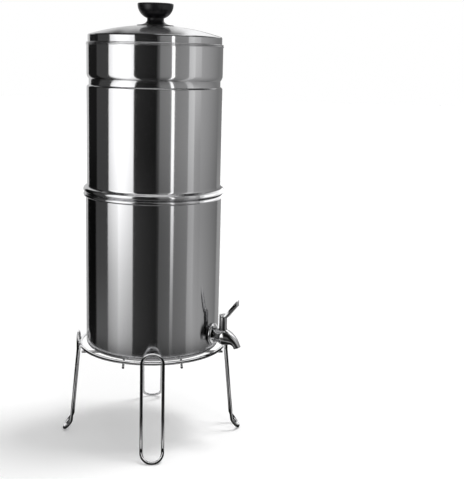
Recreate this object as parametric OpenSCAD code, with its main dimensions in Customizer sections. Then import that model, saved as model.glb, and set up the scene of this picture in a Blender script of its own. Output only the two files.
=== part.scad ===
// Gravity water filter: two stacked steel chambers with a lid, two filter candles,
// a lever tap and a welded wire stand.
// Millimetres. The origin is on the chambers' axis at floor level, +Z up.
// The stand's front leg points along -Y, and the tap is turned by tap_turn from +X.

/* [Lower chamber] */
// Outer radius of the lower chamber's wall
body_r = 108; // [90:1:125]
// Height of the lower chamber, from its base to the top of its rim
lower_h = 251.6; // [200:1:300]
// Thickness of the chambers' sheet steel
sheet = 1; // [0.8:0.1:1.5]
// Radius of the rounded edge round the lower chamber's base
base_round = 9; // [4:1:20]
// How far the rolled rim stands out from the wall
rim_out = 3.7; // [2:0.1:6]
// Height of the rolled rim
rim_h = 6.5; // [4:0.5:10]

/* [Upper chamber] */
// Height of the upper chamber above its seat on the lower chamber
upper_h = 229.9; // [190:1:280]
// How far the upper chamber's floor hangs down inside the lower chamber
nest_depth = 19; // [12:1:26]
// Radius of the rounded edge round the upper chamber's floor
floor_round = 6; // [3:1:12]
// Radius of the half-round bead that the upper chamber sits on
bead_r = 4.5; // [3:0.5:7]
// How far the bead stands out from the wall
bead_out = 6; // [4:0.5:8]
// Radius of the hollow curve between the wall and the top of the bead
bead_fillet = 5; // [3:0.5:8]
// Depth of the groove pressed round the wall
groove_depth = 3.3; // [1.5:0.1:3.5]
// Height of the groove's straight wall
groove_h = 9.1; // [5:0.5:16]
// Distance from the chamber's rim down to the groove's lower edge
groove_drop = 62.8; // [40:1:90]
// Radius of the rounded shoulder above the groove
shoulder_r = 12.6; // [8:0.5:20]
// Radius of the rounded lip below the groove
lip_r = 4; // [3.5:0.5:6]
// How far the upper chamber's top rim stands out from the wall
top_rim_out = 0.9; // [0.5:0.1:2]
// Height of the upper chamber's top rim
top_rim_h = 2.2; // [1.6:0.2:4]

/* [Lid] */
// Thickness of the lid's sheet steel
lid_sheet = 1; // [0.8:0.1:1.3]
// Depth of the lid's collar inside the upper chamber
lid_collar = 8; // [5:1:15]
// How far the lid's flange reaches out over the rim, from the lid's side
flange_out = 2.4; // [1.8:0.1:3]
// Thickness of the lid's flange
flange_t = 1.7; // [1.2:0.1:2.5]
// Height of the lid's side above the underside of its flange
lid_side = 13.1; // [8:1:20]
// Rise of the lid's dome above its side
dome_rise = 16.2; // [10:1:30]
// Radius of the rounded edge between the lid's side and its dome
lid_round = 2.5; // [1.5:0.5:5]

/* [Knob] */
// Radius of the knob's bowl at its widest
knob_r = 27.8; // [22:0.5:34]
// Height of the knob
knob_h = 33.8; // [28:1:45]
// Radius of the curve that rounds the bowl inward
bowl_curve = 22; // [18:0.5:22]
// Radius of the knob's neck
neck_r = 13; // [9:0.5:15]
// Height at which the flared foot of the knob meets the neck
neck_z = 8.6; // [6:0.2:10]
// Radius of the knob's foot
knob_foot_r = 28.6; // [24:0.5:32]
// Thickness of the edge of the knob's foot
knob_edge = 1; // [0.6:0.1:2]
// Radius of the rounded edge round the knob's flat top
knob_round = 1.6; // [1:0.2:4]
// Radius of the screw that holds the knob
knob_screw_r = 3; // [2:0.5:4]
// Length of the brass insert moulded into the knob
insert_l = 14; // [10:1:20]
// Radius of the brass insert
insert_r = 5; // [4.5:0.5:7]
// Radius of the washer under the lid
knob_washer_r = 10; // [8:1:14]
// Thickness of the washer under the lid
knob_washer_t = 1.5; // [1:0.5:2.5]

/* [Filter candles] */
// Radius of a candle's ceramic shell
candle_r = 34.5; // [24:0.5:38]
// Height of a candle from the underside of its base
candle_h = 178; // [130:1:200]
// Thickness of the ceramic
candle_wall = 8; // [5:0.5:12]
// Distance of each floor hole from the chambers' axis
candle_pitch = 50; // [44:1:56]
// Height of the candle's plastic base
cap_h = 14; // [10:1:20]
// Thickness of the floor of the plastic base
cap_floor = 4; // [3:0.5:6]
// Thickness of the side of the plastic base
cap_wall = 1.6; // [1.2:0.2:2.5]
// Radius of the threaded stem
stem_r = 5; // [4:0.5:7]
// Radius of the water passage in the stem
stem_bore_r = 2.5; // [1.5:0.5:3]
// How far a stem reaches below the upper chamber's floor
stem_drop = 26; // [18:1:36]
// Radius of the sealing washer under a candle
candle_washer_r = 14; // [10:1:18]
// Thickness of the sealing washer under a candle
candle_washer_t = 3; // [2:0.5:4]
// Radius of a wing nut's hub
wing_hub_r = 9.5; // [9:0.5:14]
// Height of a wing nut's hub
wing_hub_h = 9; // [6:1:14]
// Distance between the tips of a wing nut's wings
wing_span = 42; // [32:1:50]
// Height of a wing above its hub's seat
wing_h = 15; // [15:1:20]
// Thickness of a wing
wing_t = 3.2; // [2:0.2:5]

/* [Blanking plugs] */
// Radius of a blanking plug's head
plug_head_r = 11; // [9:0.5:15]
// Height of a blanking plug's head
plug_head_h = 3.5; // [2:0.5:6]
// Thickness of the sealing washer under a blanking plug
plug_washer_t = 2; // [1.5:0.5:3]
// How far a blanking plug reaches below the upper chamber's floor
plug_drop = 14; // [11:1:20]
// Width across the flats of a blanking plug's nut
plug_nut_af = 17; // [16:0.5:24]
// Height of a blanking plug's nut
plug_nut_h = 6; // [4:0.5:9]

/* [Tap] */
// Direction of the tap, from +X towards +Y
tap_turn = -28.5; // [-36:0.5:-22]
// Height of the tap's axis above the lower chamber's base
tap_rise = 29.6; // [28:0.2:40]
// Radius of the tap's threaded shank
shank_r = 8; // [6:0.5:8.5]
// How far the shank reaches into the chamber from the wall's outer face
shank_in = 18; // [15:1:24]
// Radius of the tap's wall flange
tap_flange_r = 17.5; // [14:0.5:20]
// Thickness of the wall flange at its middle
tap_flange_t = 3.4; // [2.5:0.1:5]
// Thickness of the outer rubber washer at its middle
outer_washer_t = 2; // [1.5:0.5:3]
// Radius of the outer rubber washer
outer_washer_r = 15; // [12:0.5:16]
// Thickness of the inner rubber washer at its middle
inner_washer_t = 2.5; // [2:0.5:3]
// Radius of the inner rubber washer
inner_washer_r = 13; // [11:0.5:14]
// Width across the flats of the tap's nut
tap_nut_af = 24; // [20:0.5:26]
// Thickness of the tap's nut
tap_nut_t = 7; // [5:0.5:9]
// Distance of the valve's axis from the chamber's wall
valve_reach = 19; // [18:0.5:24]
// Outer radius of the tap's body where it leaves the wall flange
body_root_r = 10.2; // [9.6:0.1:11]
// Outer radius of the tap's body round the valve
valve_r = 13.2; // [12.4:0.2:14]
// Depth of the valve's bore below the tap's axis
valve_low = 9.8; // [9:0.1:10]
// Height of the valve's bore above the tap's axis
valve_high = 12; // [11.8:0.1:12.4]
// Distance of the spout's outlet from the valve's axis
spout_reach = 25.2; // [24:0.2:27]
// Drop of the spout's outlet below the tap's axis
spout_drop = 17.3; // [16.5:0.1:19]
// Tilt of the outlet from straight down
spout_tilt = 20; // [17:1:23]
// Outer radius of the spout at its outlet
spout_r = 5.9; // [5.8:0.1:6.6]
// Radius of the outlet's bore
outlet_r = 4.5; // [3.5:0.1:4.7]
// Length of the outlet's bore
outlet_l = 9; // [8:0.5:10]

/* [Tap valve] */
// Radius of the turning plug
valve_plug_r = 6.7; // [6.5:0.1:7]
// Radius of the water way through the tap and its plug
water_r = 3.5; // [2.5:0.1:4]
// Height of the plug above the tap's axis
plug_high = 9; // [8.5:0.5:9]
// Radius of the plug's stem
valve_stem_r = 3; // [2.5:0.5:3.5]
// Radius of the bonnet that closes the valve
bonnet_r = 6.35; // [5.5:0.05:7]
// Height of the bonnet above the valve's bore
bonnet_h = 18.4; // [14:0.2:26]
// Radius of the section of the rubber rings on the plug
ring_section = 1; // [0.8:0.1:1.2]
// Distance of each rubber ring from the edge of the water way
ring_space = 2.8; // [2.2:0.1:3]

/* [Tap lever] */
// Height of the lever's hub
hub_h = 3.8; // [3.4:0.2:8]
// Reach of the lever's tip from the valve's axis
lever_reach = 25; // [20:0.5:40]
// Height of the lever's tip above its hub
lever_lift = 26; // [18:0.5:36]
// Depth of the lever's bar, seen from the side
lever_depth = 5.8; // [4.5:0.1:7]
// Width of the lever's bar at its tip
lever_tip_w = 10.4; // [6:0.2:12]

/* [Stand] */
// Height of the support ring's centre line above the floor
ring_z = 152.8; // [120:1:200]
// Diameter of the support ring's wire
ring_wire = 5.5; // [4:0.5:7]
// Gap between the chamber's wall and the support ring
ring_gap = 6.75; // [5:0.25:12]
// Diameter of the wires that the chamber stands on
rest_wire = 4; // [3:0.5:6]
// Distance of each rest wire from the middle
rest_offset = 45; // [30:1:60]
// How far a rest wire's end stands out past the ring
rest_stub = 1.5; // [0.5:0.5:4]
// Diameter of the leg wire
leg_wire = 5; // [4:0.5:7]
// Distance between the two wires of a leg, centre to centre
leg_width = 33.2; // [24:1:42]
// Height of the top of a leg's arch above the ring's centre line
arch_rise = 18.5; // [18:0.5:30]
// Distance from the ring's centre line down to the kink in a leg
kink_drop = 8; // [7.5:0.5:14]
// Radius of the kink where a leg turns outward
kink_bend = 20; // [10:1:30]
// Splay of the legs from upright
leg_splay = 5.6; // [2:0.2:9]
// Slope of the feet from upright
foot_slope = 38; // [25:1:55]
// Radius of the bend between a leg and its foot
foot_bend = 14; // [8:1:20]
// How deep two welded wires sink into each other
weld = 0.5; // [0.2:0.1:0.8]

/* [Clearances] */
// Gap under a piece that rests on another and lifts off
seat_gap = 0.3; // [0.2:0.05:0.4]
// Gap between the upper chamber's wall and the lower chamber round it
nest_gap = 1; // [0.6:0.1:2]
// Gap between the lid's collar and the upper chamber round it
lid_gap = 0.9; // [0.4:0.1:1]
// Running gap round the turning plug and its stem
run_gap = 0.05; // [0.02:0.01:0.08]
// Gap round a screw, stem or shank in a plain hole
hole_gap = 0.3; // [0.2:0.05:0.5]
// Gap between two pieces that are screwed, moulded or clamped together
fit_gap = 0.05; // [0.03:0.01:0.1]

/* [Hidden] */
$fn = 96;

steel = [0.80, 0.80, 0.81];
wire_chrome = [0.70, 0.71, 0.73];
tap_chrome = [0.76, 0.76, 0.78];
rubber = [0.12, 0.12, 0.12];
brass = [0.78, 0.62, 0.32];
phenolic = [0.06, 0.06, 0.06];
ceramic = [0.88, 0.88, 0.86];
navy = [0.09, 0.10, 0.32];
nut_white = [0.90, 0.90, 0.88];

// Stand
ring_r = body_r + ring_gap + ring_wire / 2;
rest_upper_z = ring_z - (ring_wire + rest_wire) / 2 + weld;
rest_lower_z = rest_upper_z - rest_wire + weld;
rest_tip_r = ring_r + ring_wire / 2 + rest_stub;
rest_half = sqrt(pow(rest_tip_r, 2) - pow(rest_offset, 2));
leg_half = leg_width / 2;
leg_touch_r = ring_r + (ring_wire + leg_wire) / 2 - weld;
leg_r = sqrt(pow(leg_touch_r, 2) - pow(leg_half, 2));
arch_z = ring_z + arch_rise - leg_wire / 2 - leg_half;
kink_z = ring_z - kink_drop;
foot_z = leg_wire / 2 + leg_half * cos(foot_slope);
bend_z = foot_z + foot_bend * (sin(foot_slope) - sin(leg_splay));
splay_z = kink_z - kink_bend * sin(leg_splay);
splay_r = leg_r + kink_bend * (1 - cos(leg_splay));
bend_r = splay_r + (splay_z - bend_z) * tan(leg_splay);
bend_centre = [bend_r + foot_bend * cos(leg_splay), bend_z + foot_bend * sin(leg_splay)];
foot_r = bend_centre[0] - foot_bend * cos(foot_slope);

// Each stretch of a leg's wire ends inside the next one, which is a hair thicker
lap = 0.3;
lap_turn = 1;
bend_wire = leg_wire + 0.04;
loop_wire = leg_wire + 0.08;

// Chambers
base_z = rest_upper_z + rest_wire / 2 + seat_gap;
seat_z = base_z + lower_h + seat_gap;
upper_r = body_r - sheet - nest_gap;
floor_top_z = seat_z - nest_depth + sheet;
floor_under_z = seat_z - nest_depth;
hole_r = stem_r + hole_gap;
bead_c = [upper_r + bead_out - bead_r, bead_r];
fillet_z = bead_r + sqrt(pow(bead_r + bead_fillet, 2) - pow(upper_r + bead_fillet - bead_c[0], 2));
fillet_a = atan2(fillet_z - bead_r, upper_r + bead_fillet - bead_c[0]);
groove_low = upper_h - groove_drop;
groove_r = upper_r - groove_depth;
lip_a = acos((lip_r - groove_depth) / lip_r);
shoulder_a = acos((shoulder_r - groove_depth) / shoulder_r);
groove_top = groove_low + groove_h + shoulder_r * sin(shoulder_a);

// Lid and knob
lid_z = seat_z + upper_h + seat_gap;
lid_r = upper_r - sheet - lid_gap;
dome_r = (pow(lid_r, 2) + pow(dome_rise, 2)) / (2 * dome_rise);
dome_c = lid_side + dome_rise - dome_r;
edge_c = dome_c + sqrt(pow(dome_r - lid_round, 2) - pow(lid_r - lid_round, 2));
edge_a = atan2(edge_c - dome_c, lid_r - lid_round);
knob_lip = 1.5;
knob_hollow = 2;
knob_z = lid_z + dome_top(knob_foot_r - knob_lip) + fit_gap;
bowl_z = knob_h - knob_round;
bowl_in = knob_r - bowl_curve;
bowl_a = acos((neck_r - bowl_in) / bowl_curve);
washer_top_z = lid_z + dome_under(knob_washer_r) - fit_gap;
knob_head_r = 5.5;
knob_head_h = 4;
knob_screw_short = 1.5;
knob_screw_top = knob_z + knob_hollow + insert_l - knob_screw_short;

// Filter candles
cap_z = floor_top_z + candle_washer_t;
cap_r = candle_r + cap_wall + fit_gap;
stem_low_z = floor_under_z - stem_drop;
candle_at = [-candle_pitch, candle_pitch];

// Tap, in its own directions: u outward from the chambers' axis, z up
tap_z = base_z + tap_rise;
washer_out_u = body_r + outer_washer_t;
flange_face_u = washer_out_u + tap_flange_t;
washer_in_u = body_r - sheet - inner_washer_t;
shank_u = body_r - shank_in;
valve_u = body_r + valve_reach;
valve_top_z = tap_z + valve_high;
valve_bore_r = valve_plug_r + run_gap;
valve_floor_z = tap_z - valve_low;
plug_low_z = valve_floor_z + seat_gap;
plug_top_z = tap_z + plug_high;
bonnet_top_z = valve_top_z + bonnet_h;
hub_z = bonnet_top_z + seat_gap;
hub_top_z = hub_z + hub_h;
outlet = [valve_u + spout_reach, tap_z - spout_drop];
outlet_dir = [sin(spout_tilt), -cos(spout_tilt)];
elbow = outlet - outlet_l * outlet_dir;
// The body's centre line runs between the flange and the outlet through these guides
body_line = [[flange_face_u, tap_z], [valve_u + 6, tap_z - 2.5],
             outlet - 17 * outlet_dir, outlet];
swell_at = 0.3;
groove_section = ring_section + fit_gap;
ring_r_on_plug = valve_bore_r - ring_section - run_gap;
ring_heights = [tap_z - water_r - ring_space, tap_z + water_r + ring_space];
screw_r = 1.5;
screw_head_r = 2.6;
screw_head_h = 1.6;
stem_top_z = hub_top_z - screw_head_h - 1;

// ---- shapes that repeat ----

// Points along an arc of an ellipse, from angle a0 to a1
function arc(c, rx, rz, a0, a1, n = 12) =
    [for (i = [0:n]) let (a = a0 + (a1 - a0) * i / n) [c[0] + rx * cos(a), c[1] + rz * sin(a)]];

function reversed(list) = [for (i = [len(list) - 1:-1:0]) list[i]];

// Height of the lid's dome above the flange's underside, outside and inside
function dome_top(r) = dome_c + sqrt(pow(dome_r, 2) - pow(r, 2));
function dome_under(r) = dome_c + sqrt(pow(dome_r - lid_sheet, 2) - pow(r, 2));

module turned(points) {
    rotate_extrude($fn = 180) polygon(points);
}

module ring_of(r_in, r_out, h) {
    difference() {
        cylinder(r = r_out, h = h);
        translate([0, 0, -1]) cylinder(r = r_in, h = h + 2);
    }
}

// Turns children drawn along +X to the tap's direction
module at_tap() {
    rotate([0, 0, tap_turn]) children();
}

// A cylinder along the tap's axis, from u0 to u1
module tap_rod(r, u0, u1) {
    translate([u0, 0, tap_z]) rotate([0, 90, 0]) cylinder(r = r, h = u1 - u0);
}

// ---- stand ----

module stand_ring() {
    color(wire_chrome) translate([0, 0, ring_z])
        rotate_extrude($fn = 180) translate([ring_r, 0]) circle(d = ring_wire, $fn = 32);
}

module rest_pair(z) {
    for (y = [-rest_offset, rest_offset])
        translate([-rest_half, y, z]) rotate([0, 90, 0])
            cylinder(d = rest_wire, h = 2 * rest_half, $fn = 32);
}

module rest_wires_upper() {
    color(wire_chrome) rest_pair(rest_upper_z);
}

module rest_wires_lower() {
    color(wire_chrome) rotate([0, 0, 90]) rest_pair(rest_lower_z);
}

// Half a ring of leg wire, in the plane of local X and Y, on the +Y side
module half_loop() {
    rotate_extrude(angle = 180, $fn = 96) translate([leg_half, 0]) circle(d = loop_wire, $fn = 32);
}

// A bend outward in a leg's upright plane, from slope a0 to slope a1
module leg_bend(centre, radius, a0, a1) {
    translate([centre[0], 0, centre[1]]) rotate([90, 0, 0]) rotate([0, 0, 180 + a0])
        rotate_extrude(angle = a1 - a0, $fn = 96)
            translate([radius, 0]) circle(d = bend_wire, $fn = 32);
}

// One wire of a leg between its arch and its foot
module leg_side() {
    translate([leg_r, 0, kink_z - lap])
        cylinder(d = leg_wire, h = arch_z - kink_z + 2 * lap, $fn = 32);
    leg_bend([leg_r + kink_bend, kink_z], kink_bend, 0, leg_splay);
    translate([splay_r, 0, splay_z]) rotate([0, 180 - leg_splay, 0]) translate([0, 0, -lap])
        cylinder(d = leg_wire, h = (splay_z - bend_z) / cos(leg_splay) + 2 * lap, $fn = 32);
    leg_bend(bend_centre, foot_bend, leg_splay, foot_slope + lap_turn);
}

// A closed wire loop: an arch above the ring, two splayed wires and a bent foot
module leg(turn) {
    color(wire_chrome) rotate([0, 0, turn]) union() {
        translate([leg_r, 0, arch_z]) rotate([90, 0, 90]) half_loop();
        for (side = [-leg_half, leg_half])
            translate([0, side, 0]) leg_side();
        translate([foot_r, 0, foot_z]) rotate([0, 180 - foot_slope, 0])
            rotate([90, 0, 90]) half_loop();
    }
}

module leg_front() { leg(-90); }
module leg_right() { leg(0); }
module leg_back() { leg(90); }
module leg_left() { leg(180); }

// ---- lower chamber ----

module lower_chamber() {
    outside = concat(
        [[0, 0]],
        arc([body_r - base_round, base_round], base_round, base_round, -90, 0),
        arc([body_r, lower_h - rim_h / 2], rim_out, rim_h / 2, -90, 90, 18));
    inside = concat(
        [[0, sheet]],
        arc([body_r - base_round, base_round], base_round - sheet, base_round - sheet, -90, 0),
        [[body_r - sheet, lower_h]]);
    color(steel) difference() {
        translate([0, 0, base_z]) turned(concat(outside, reversed(inside)));
        at_tap() tap_rod(shank_r + hole_gap, body_r - 10, body_r + 10);
    }
}

// ---- tap ----

// A point along a curve that starts and ends at the first and last of some guide points
function along(guides, t) =
    len(guides) == 1 ? guides[0]
    : along([for (i = [0:len(guides) - 2]) guides[i] * (1 - t) + guides[i + 1] * t], t);

// Direction of the body's centre line: level at the flange and along the outlet at its end
function body_way(t) =
    let (e = 0.001, v = along(body_line, t + e) - along(body_line, t - e))
    t == 0 ? [1, 0] : t == 1 ? outlet_dir : v / norm(v);

// The body swells from the flange to the valve and tapers to the outlet
function body_radius(t) =
    t < swell_at ? body_root_r + (valve_r - body_root_r) * (1 - cos(180 * t / swell_at)) / 2
    : valve_r + (spout_r - valve_r) * pow(sin(90 * (t - swell_at) / (1 - swell_at)), 1.5);

// The curved outside of the tap's body, as one skin round its centre line
module body_horn(rings = 24, sides = 32) {
    points = [for (i = [0:rings]) let (t = i / rings, p = along(body_line, t), w = body_way(t),
                                       r = body_radius(t))
              for (j = [0:sides - 1]) let (a = 360 * j / sides)
              [p[0] - w[1] * r * cos(a), r * sin(a), p[1] + w[0] * r * cos(a)]];
    sides_of = [for (i = [0:rings - 1]) for (j = [0:sides - 1])
                let (k = (j + 1) % sides, a = i * sides + j, b = i * sides + k)
                each [[a, b, b + sides], [a, b + sides, a + sides]]];
    polyhedron(points, concat(
        [[for (j = [sides - 1:-1:0]) j]], sides_of,
        [[for (j = [0:sides - 1]) rings * sides + j]]));
}

module tap_body() {
    run = [elbow[0] - valve_u, elbow[1] - tap_z];
    color(tap_chrome) at_tap() difference() {
        union() {
            tap_rod(shank_r, shank_u, flange_face_u + 1);
            body_horn();
        }
        tap_rod(water_r, shank_u - 1, valve_u);
        translate([valve_u, 0, valve_floor_z])
            cylinder(r = valve_bore_r, h = valve_top_z - valve_floor_z + 1);
        translate([valve_u, 0, tap_z]) rotate([0, atan2(run[0], run[1]), 0])
            cylinder(r = water_r, h = norm(run) + 1.5);
        translate([elbow[0], 0, elbow[1]]) rotate([0, 180 - spout_tilt, 0])
            cylinder(r = outlet_r, h = outlet_l + 3);
    }
}

// The dished flange that covers the hole in the chamber's wall
module tap_flange() {
    edge = 1;
    color(tap_chrome) at_tap() translate([washer_out_u, 0, tap_z]) rotate([0, 90, 0])
        turned(concat(
            [[shank_r + hole_gap, 0], [tap_flange_r, 0], [tap_flange_r, edge]],
            arc([body_root_r, edge], tap_flange_r - body_root_r, tap_flange_t - edge, 6, 90),
            [[shank_r + hole_gap, tap_flange_t]]));
}

// Rubber washers: flat on the metal, curved to the wall on the other side
module tap_washer_outer() {
    color(rubber) at_tap() difference() {
        tap_rod(outer_washer_r, body_r - 4, washer_out_u);
        tap_rod(shank_r + fit_gap, body_r - 5, washer_out_u + 1);
        translate([0, 0, base_z]) cylinder(r = body_r + fit_gap, h = lower_h, $fn = 720);
    }
}

module tap_washer_inner() {
    color(rubber) at_tap() difference() {
        intersection() {
            tap_rod(inner_washer_r, washer_in_u, body_r);
            translate([0, 0, base_z])
                cylinder(r = body_r - sheet - fit_gap, h = lower_h, $fn = 720);
        }
        tap_rod(shank_r + fit_gap, washer_in_u - 1, body_r + 1);
    }
}

module tap_nut() {
    color(brass) at_tap() difference() {
        translate([washer_in_u - tap_nut_t, 0, tap_z]) rotate([0, 90, 0])
            cylinder(d = tap_nut_af / cos(30), h = tap_nut_t, $fn = 6);
        tap_rod(shank_r + fit_gap, shank_u - 1, body_r);
    }
}

// The bonnet is screwed into the valve's bore and holds the plug down
module tap_bonnet() {
    edge = 0.8;
    low = plug_top_z + seat_gap;
    color(tap_chrome) at_tap() translate([valve_u, 0, 0]) turned(concat(
        [[valve_stem_r + run_gap, low], [valve_bore_r - fit_gap, low],
         [valve_bore_r - fit_gap, valve_top_z], [bonnet_r, valve_top_z]],
        arc([bonnet_r - edge, bonnet_top_z - edge], edge, edge, 0, 90, 6),
        [[valve_stem_r + run_gap, bonnet_top_z]]));
}

// ---- valve plug and lever ----

module valve_plug() {
    color(brass) at_tap() translate([valve_u, 0, 0]) difference() {
        union() {
            translate([0, 0, plug_low_z]) cylinder(r = valve_plug_r, h = plug_top_z - plug_low_z);
            translate([0, 0, plug_top_z - 1])
                cylinder(r = valve_stem_r, h = stem_top_z - plug_top_z + 1);
        }
        translate([0, valve_r, tap_z]) rotate([90, 0, 0]) cylinder(r = water_r, h = 2 * valve_r);
        for (z = ring_heights)
            translate([0, 0, z]) rotate_extrude()
                translate([ring_r_on_plug, 0]) circle(r = groove_section, $fn = 24);
        translate([0, 0, stem_top_z - 8]) cylinder(r = screw_r + fit_gap, h = 9);
    }
}

module valve_rings() {
    color(rubber) at_tap() for (z = ring_heights)
        translate([valve_u, 0, z]) rotate_extrude()
            translate([ring_r_on_plug, 0]) circle(r = ring_section, $fn = 24);
}

// A round hub with an even bar that rises outward, cut upright at its tip
module tap_lever() {
    root = 3.6;
    slope = lever_lift / (lever_reach - root);
    drop = lever_depth * sqrt(1 + slope * slope);
    tip = valve_u + lever_reach;
    tip_top = hub_top_z + lever_lift;
    side_view = [[valve_u, hub_z], [valve_u + root + (drop - hub_h) / slope, hub_z],
                 [tip, tip_top - drop], [tip, tip_top - 1], [tip - 0.8, tip_top],
                 [valve_u + root, hub_top_z], [valve_u, hub_top_z]];
    color(tap_chrome) at_tap() difference() {
        union() {
            translate([valve_u, 0, hub_z]) cylinder(r = bonnet_r, h = hub_h);
            intersection() {
                translate([0, bonnet_r, 0]) rotate([90, 0, 0])
                    linear_extrude(2 * bonnet_r) polygon(side_view);
                translate([0, 0, hub_z]) linear_extrude(2 * lever_lift)
                    polygon([[valve_u, -bonnet_r + 0.6], [tip - 1.5, -lever_tip_w / 2],
                             [tip + 1, -lever_tip_w / 2 + 1.5], [tip + 1, lever_tip_w / 2 - 1.5],
                             [tip - 1.5, lever_tip_w / 2], [valve_u, bonnet_r - 0.6]]);
            }
        }
        translate([valve_u, 0, hub_z - 1])
            cylinder(r = valve_stem_r + fit_gap, h = stem_top_z - hub_z + 1 + fit_gap);
        translate([valve_u, 0, hub_z]) cylinder(r = screw_r + hole_gap, h = hub_h + 1);
        translate([valve_u, 0, hub_top_z - screw_head_h])
            cylinder(r = screw_head_r + hole_gap, h = 2 * lever_lift);
    }
}

module lever_screw() {
    color(steel) at_tap() translate([valve_u, 0, 0]) difference() {
        union() {
            translate([0, 0, hub_top_z - screw_head_h + fit_gap])
                cylinder(r = screw_head_r, h = screw_head_h);
            translate([0, 0, stem_top_z - 7]) cylinder(r = screw_r, h = 9);
        }
        translate([-screw_head_r - 1, -0.35, hub_top_z - 0.7])
            cube([2 * screw_head_r + 2, 0.7, 2]);
    }
}

// ---- upper chamber ----

// The wall's outline from its bead to its rim, at a depth below the outer face
function upper_wall(depth) = concat(
    arc(bead_c, bead_r - depth, bead_r - depth,
        -acos((upper_r - depth - bead_c[0]) / (bead_r - depth)), fillet_a, 24),
    arc([upper_r + bead_fillet, fillet_z], bead_fillet + depth, bead_fillet + depth,
        180 + fillet_a, 180, 8),
    arc([upper_r - lip_r, groove_low - lip_r], lip_r - depth, lip_r - depth,
        0, lip_a, 8),
    [[groove_r - depth, groove_low - lip_r + lip_r * sin(lip_a) - depth]],
    [[groove_r - depth, groove_low + groove_h + depth]],
    arc([upper_r - shoulder_r, groove_top], shoulder_r - depth, shoulder_r - depth,
        -shoulder_a, 0, 10));

module upper_chamber() {
    outside = concat(
        [[0, -nest_depth]],
        arc([upper_r - floor_round, floor_round - nest_depth], floor_round, floor_round, -90, 0),
        upper_wall(0),
        arc([upper_r, upper_h - top_rim_h / 2], top_rim_out, top_rim_h / 2, -90, 90, 12));
    inside = concat(
        [[0, sheet - nest_depth]],
        arc([upper_r - floor_round, floor_round - nest_depth],
            floor_round - sheet, floor_round - sheet, -90, 0),
        upper_wall(sheet),
        [[upper_r - sheet, upper_h]]);
    color(steel) difference() {
        translate([0, 0, seat_z]) turned(concat(outside, reversed(inside)));
        for (a = [0:90:270]) rotate([0, 0, a])
            translate([candle_pitch, 0, floor_under_z - 5]) cylinder(r = hole_r, h = 10);
    }
}

// ---- filter candles ----

// A hollow ceramic shell with a domed top
module candle_shell(x) {
    inner_r = candle_r - candle_wall;
    color(ceramic) translate([x, 0, cap_z]) difference() {
        union() {
            translate([0, 0, cap_floor]) cylinder(r = candle_r, h = candle_h - candle_r - cap_floor);
            translate([0, 0, candle_h - candle_r]) sphere(r = candle_r);
        }
        translate([0, 0, cap_floor - 1]) cylinder(r = inner_r, h = candle_h - candle_r - cap_floor + 1);
        translate([0, 0, candle_h - candle_r]) sphere(r = inner_r);
    }
}

// A plastic cup with a hollow threaded stem under it
module candle_base(x) {
    color(navy) translate([x, 0, 0]) difference() {
        union() {
            translate([0, 0, cap_z]) cylinder(r = cap_r, h = cap_h);
            translate([0, 0, stem_low_z]) cylinder(r = stem_r, h = cap_z - stem_low_z + 1);
        }
        translate([0, 0, cap_z + cap_floor]) cylinder(r = candle_r + fit_gap, h = cap_h);
        translate([0, 0, stem_low_z - 1]) cylinder(r = stem_bore_r, h = cap_z + cap_h - stem_low_z);
    }
}

module candle_shell_left() { candle_shell(candle_at[0]); }
module candle_shell_right() { candle_shell(candle_at[1]); }
module candle_base_left() { candle_base(candle_at[0]); }
module candle_base_right() { candle_base(candle_at[1]); }

module candle_washers() {
    color(rubber) for (x = candle_at)
        translate([x, 0, floor_top_z]) ring_of(stem_r + fit_gap, candle_washer_r, candle_washer_t);
}

// A hub with two upright wings, screwed up against the floor from below
module wing_nut(x) {
    inner = wing_hub_r - 2;
    tip = wing_span / 2;
    wing = [[inner, 0], [wing_hub_r + 1, 0], [tip - 2, wing_h - wing_hub_h],
            [tip, wing_h - 3], [tip - 3, wing_h], [tip - 7, wing_h],
            [wing_hub_r, wing_hub_h - 1], [inner, wing_hub_h - 1]];
    color(nut_white) translate([x, 0, floor_under_z]) rotate([180, 0, 90]) difference() {
        union() {
            cylinder(r = wing_hub_r, h = wing_hub_h);
            for (side = [0, 180]) rotate([0, 0, side])
                translate([0, wing_t / 2, 0]) rotate([90, 0, 0])
                    linear_extrude(wing_t) polygon(wing);
        }
        translate([0, 0, -1]) cylinder(r = stem_r + fit_gap, h = wing_h + 2);
    }
}

module wing_nut_left() { wing_nut(candle_at[0]); }
module wing_nut_right() { wing_nut(candle_at[1]); }

// Plugs, washers and nuts that close the two floor holes without a candle
module blanking_plugs() {
    low = floor_under_z - plug_drop;
    color(navy) for (y = candle_at) translate([0, y, 0]) union() {
        translate([0, 0, floor_top_z + plug_washer_t]) cylinder(r = plug_head_r, h = plug_head_h);
        translate([0, 0, low]) cylinder(r = stem_r, h = floor_top_z + plug_washer_t + 1 - low);
    }
}

module blanking_washers() {
    color(rubber) for (y = candle_at)
        translate([0, y, floor_top_z]) ring_of(stem_r + fit_gap, plug_head_r - 0.5, plug_washer_t);
}

module blanking_nuts() {
    color(nut_white) for (y = candle_at)
        translate([0, y, floor_under_z - plug_nut_h]) difference() {
            cylinder(d = plug_nut_af / cos(30), h = plug_nut_h, $fn = 6);
            translate([0, 0, -1]) cylinder(r = stem_r + fit_gap, h = plug_nut_h + 2);
        }
}

// ---- lid and knob ----

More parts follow.
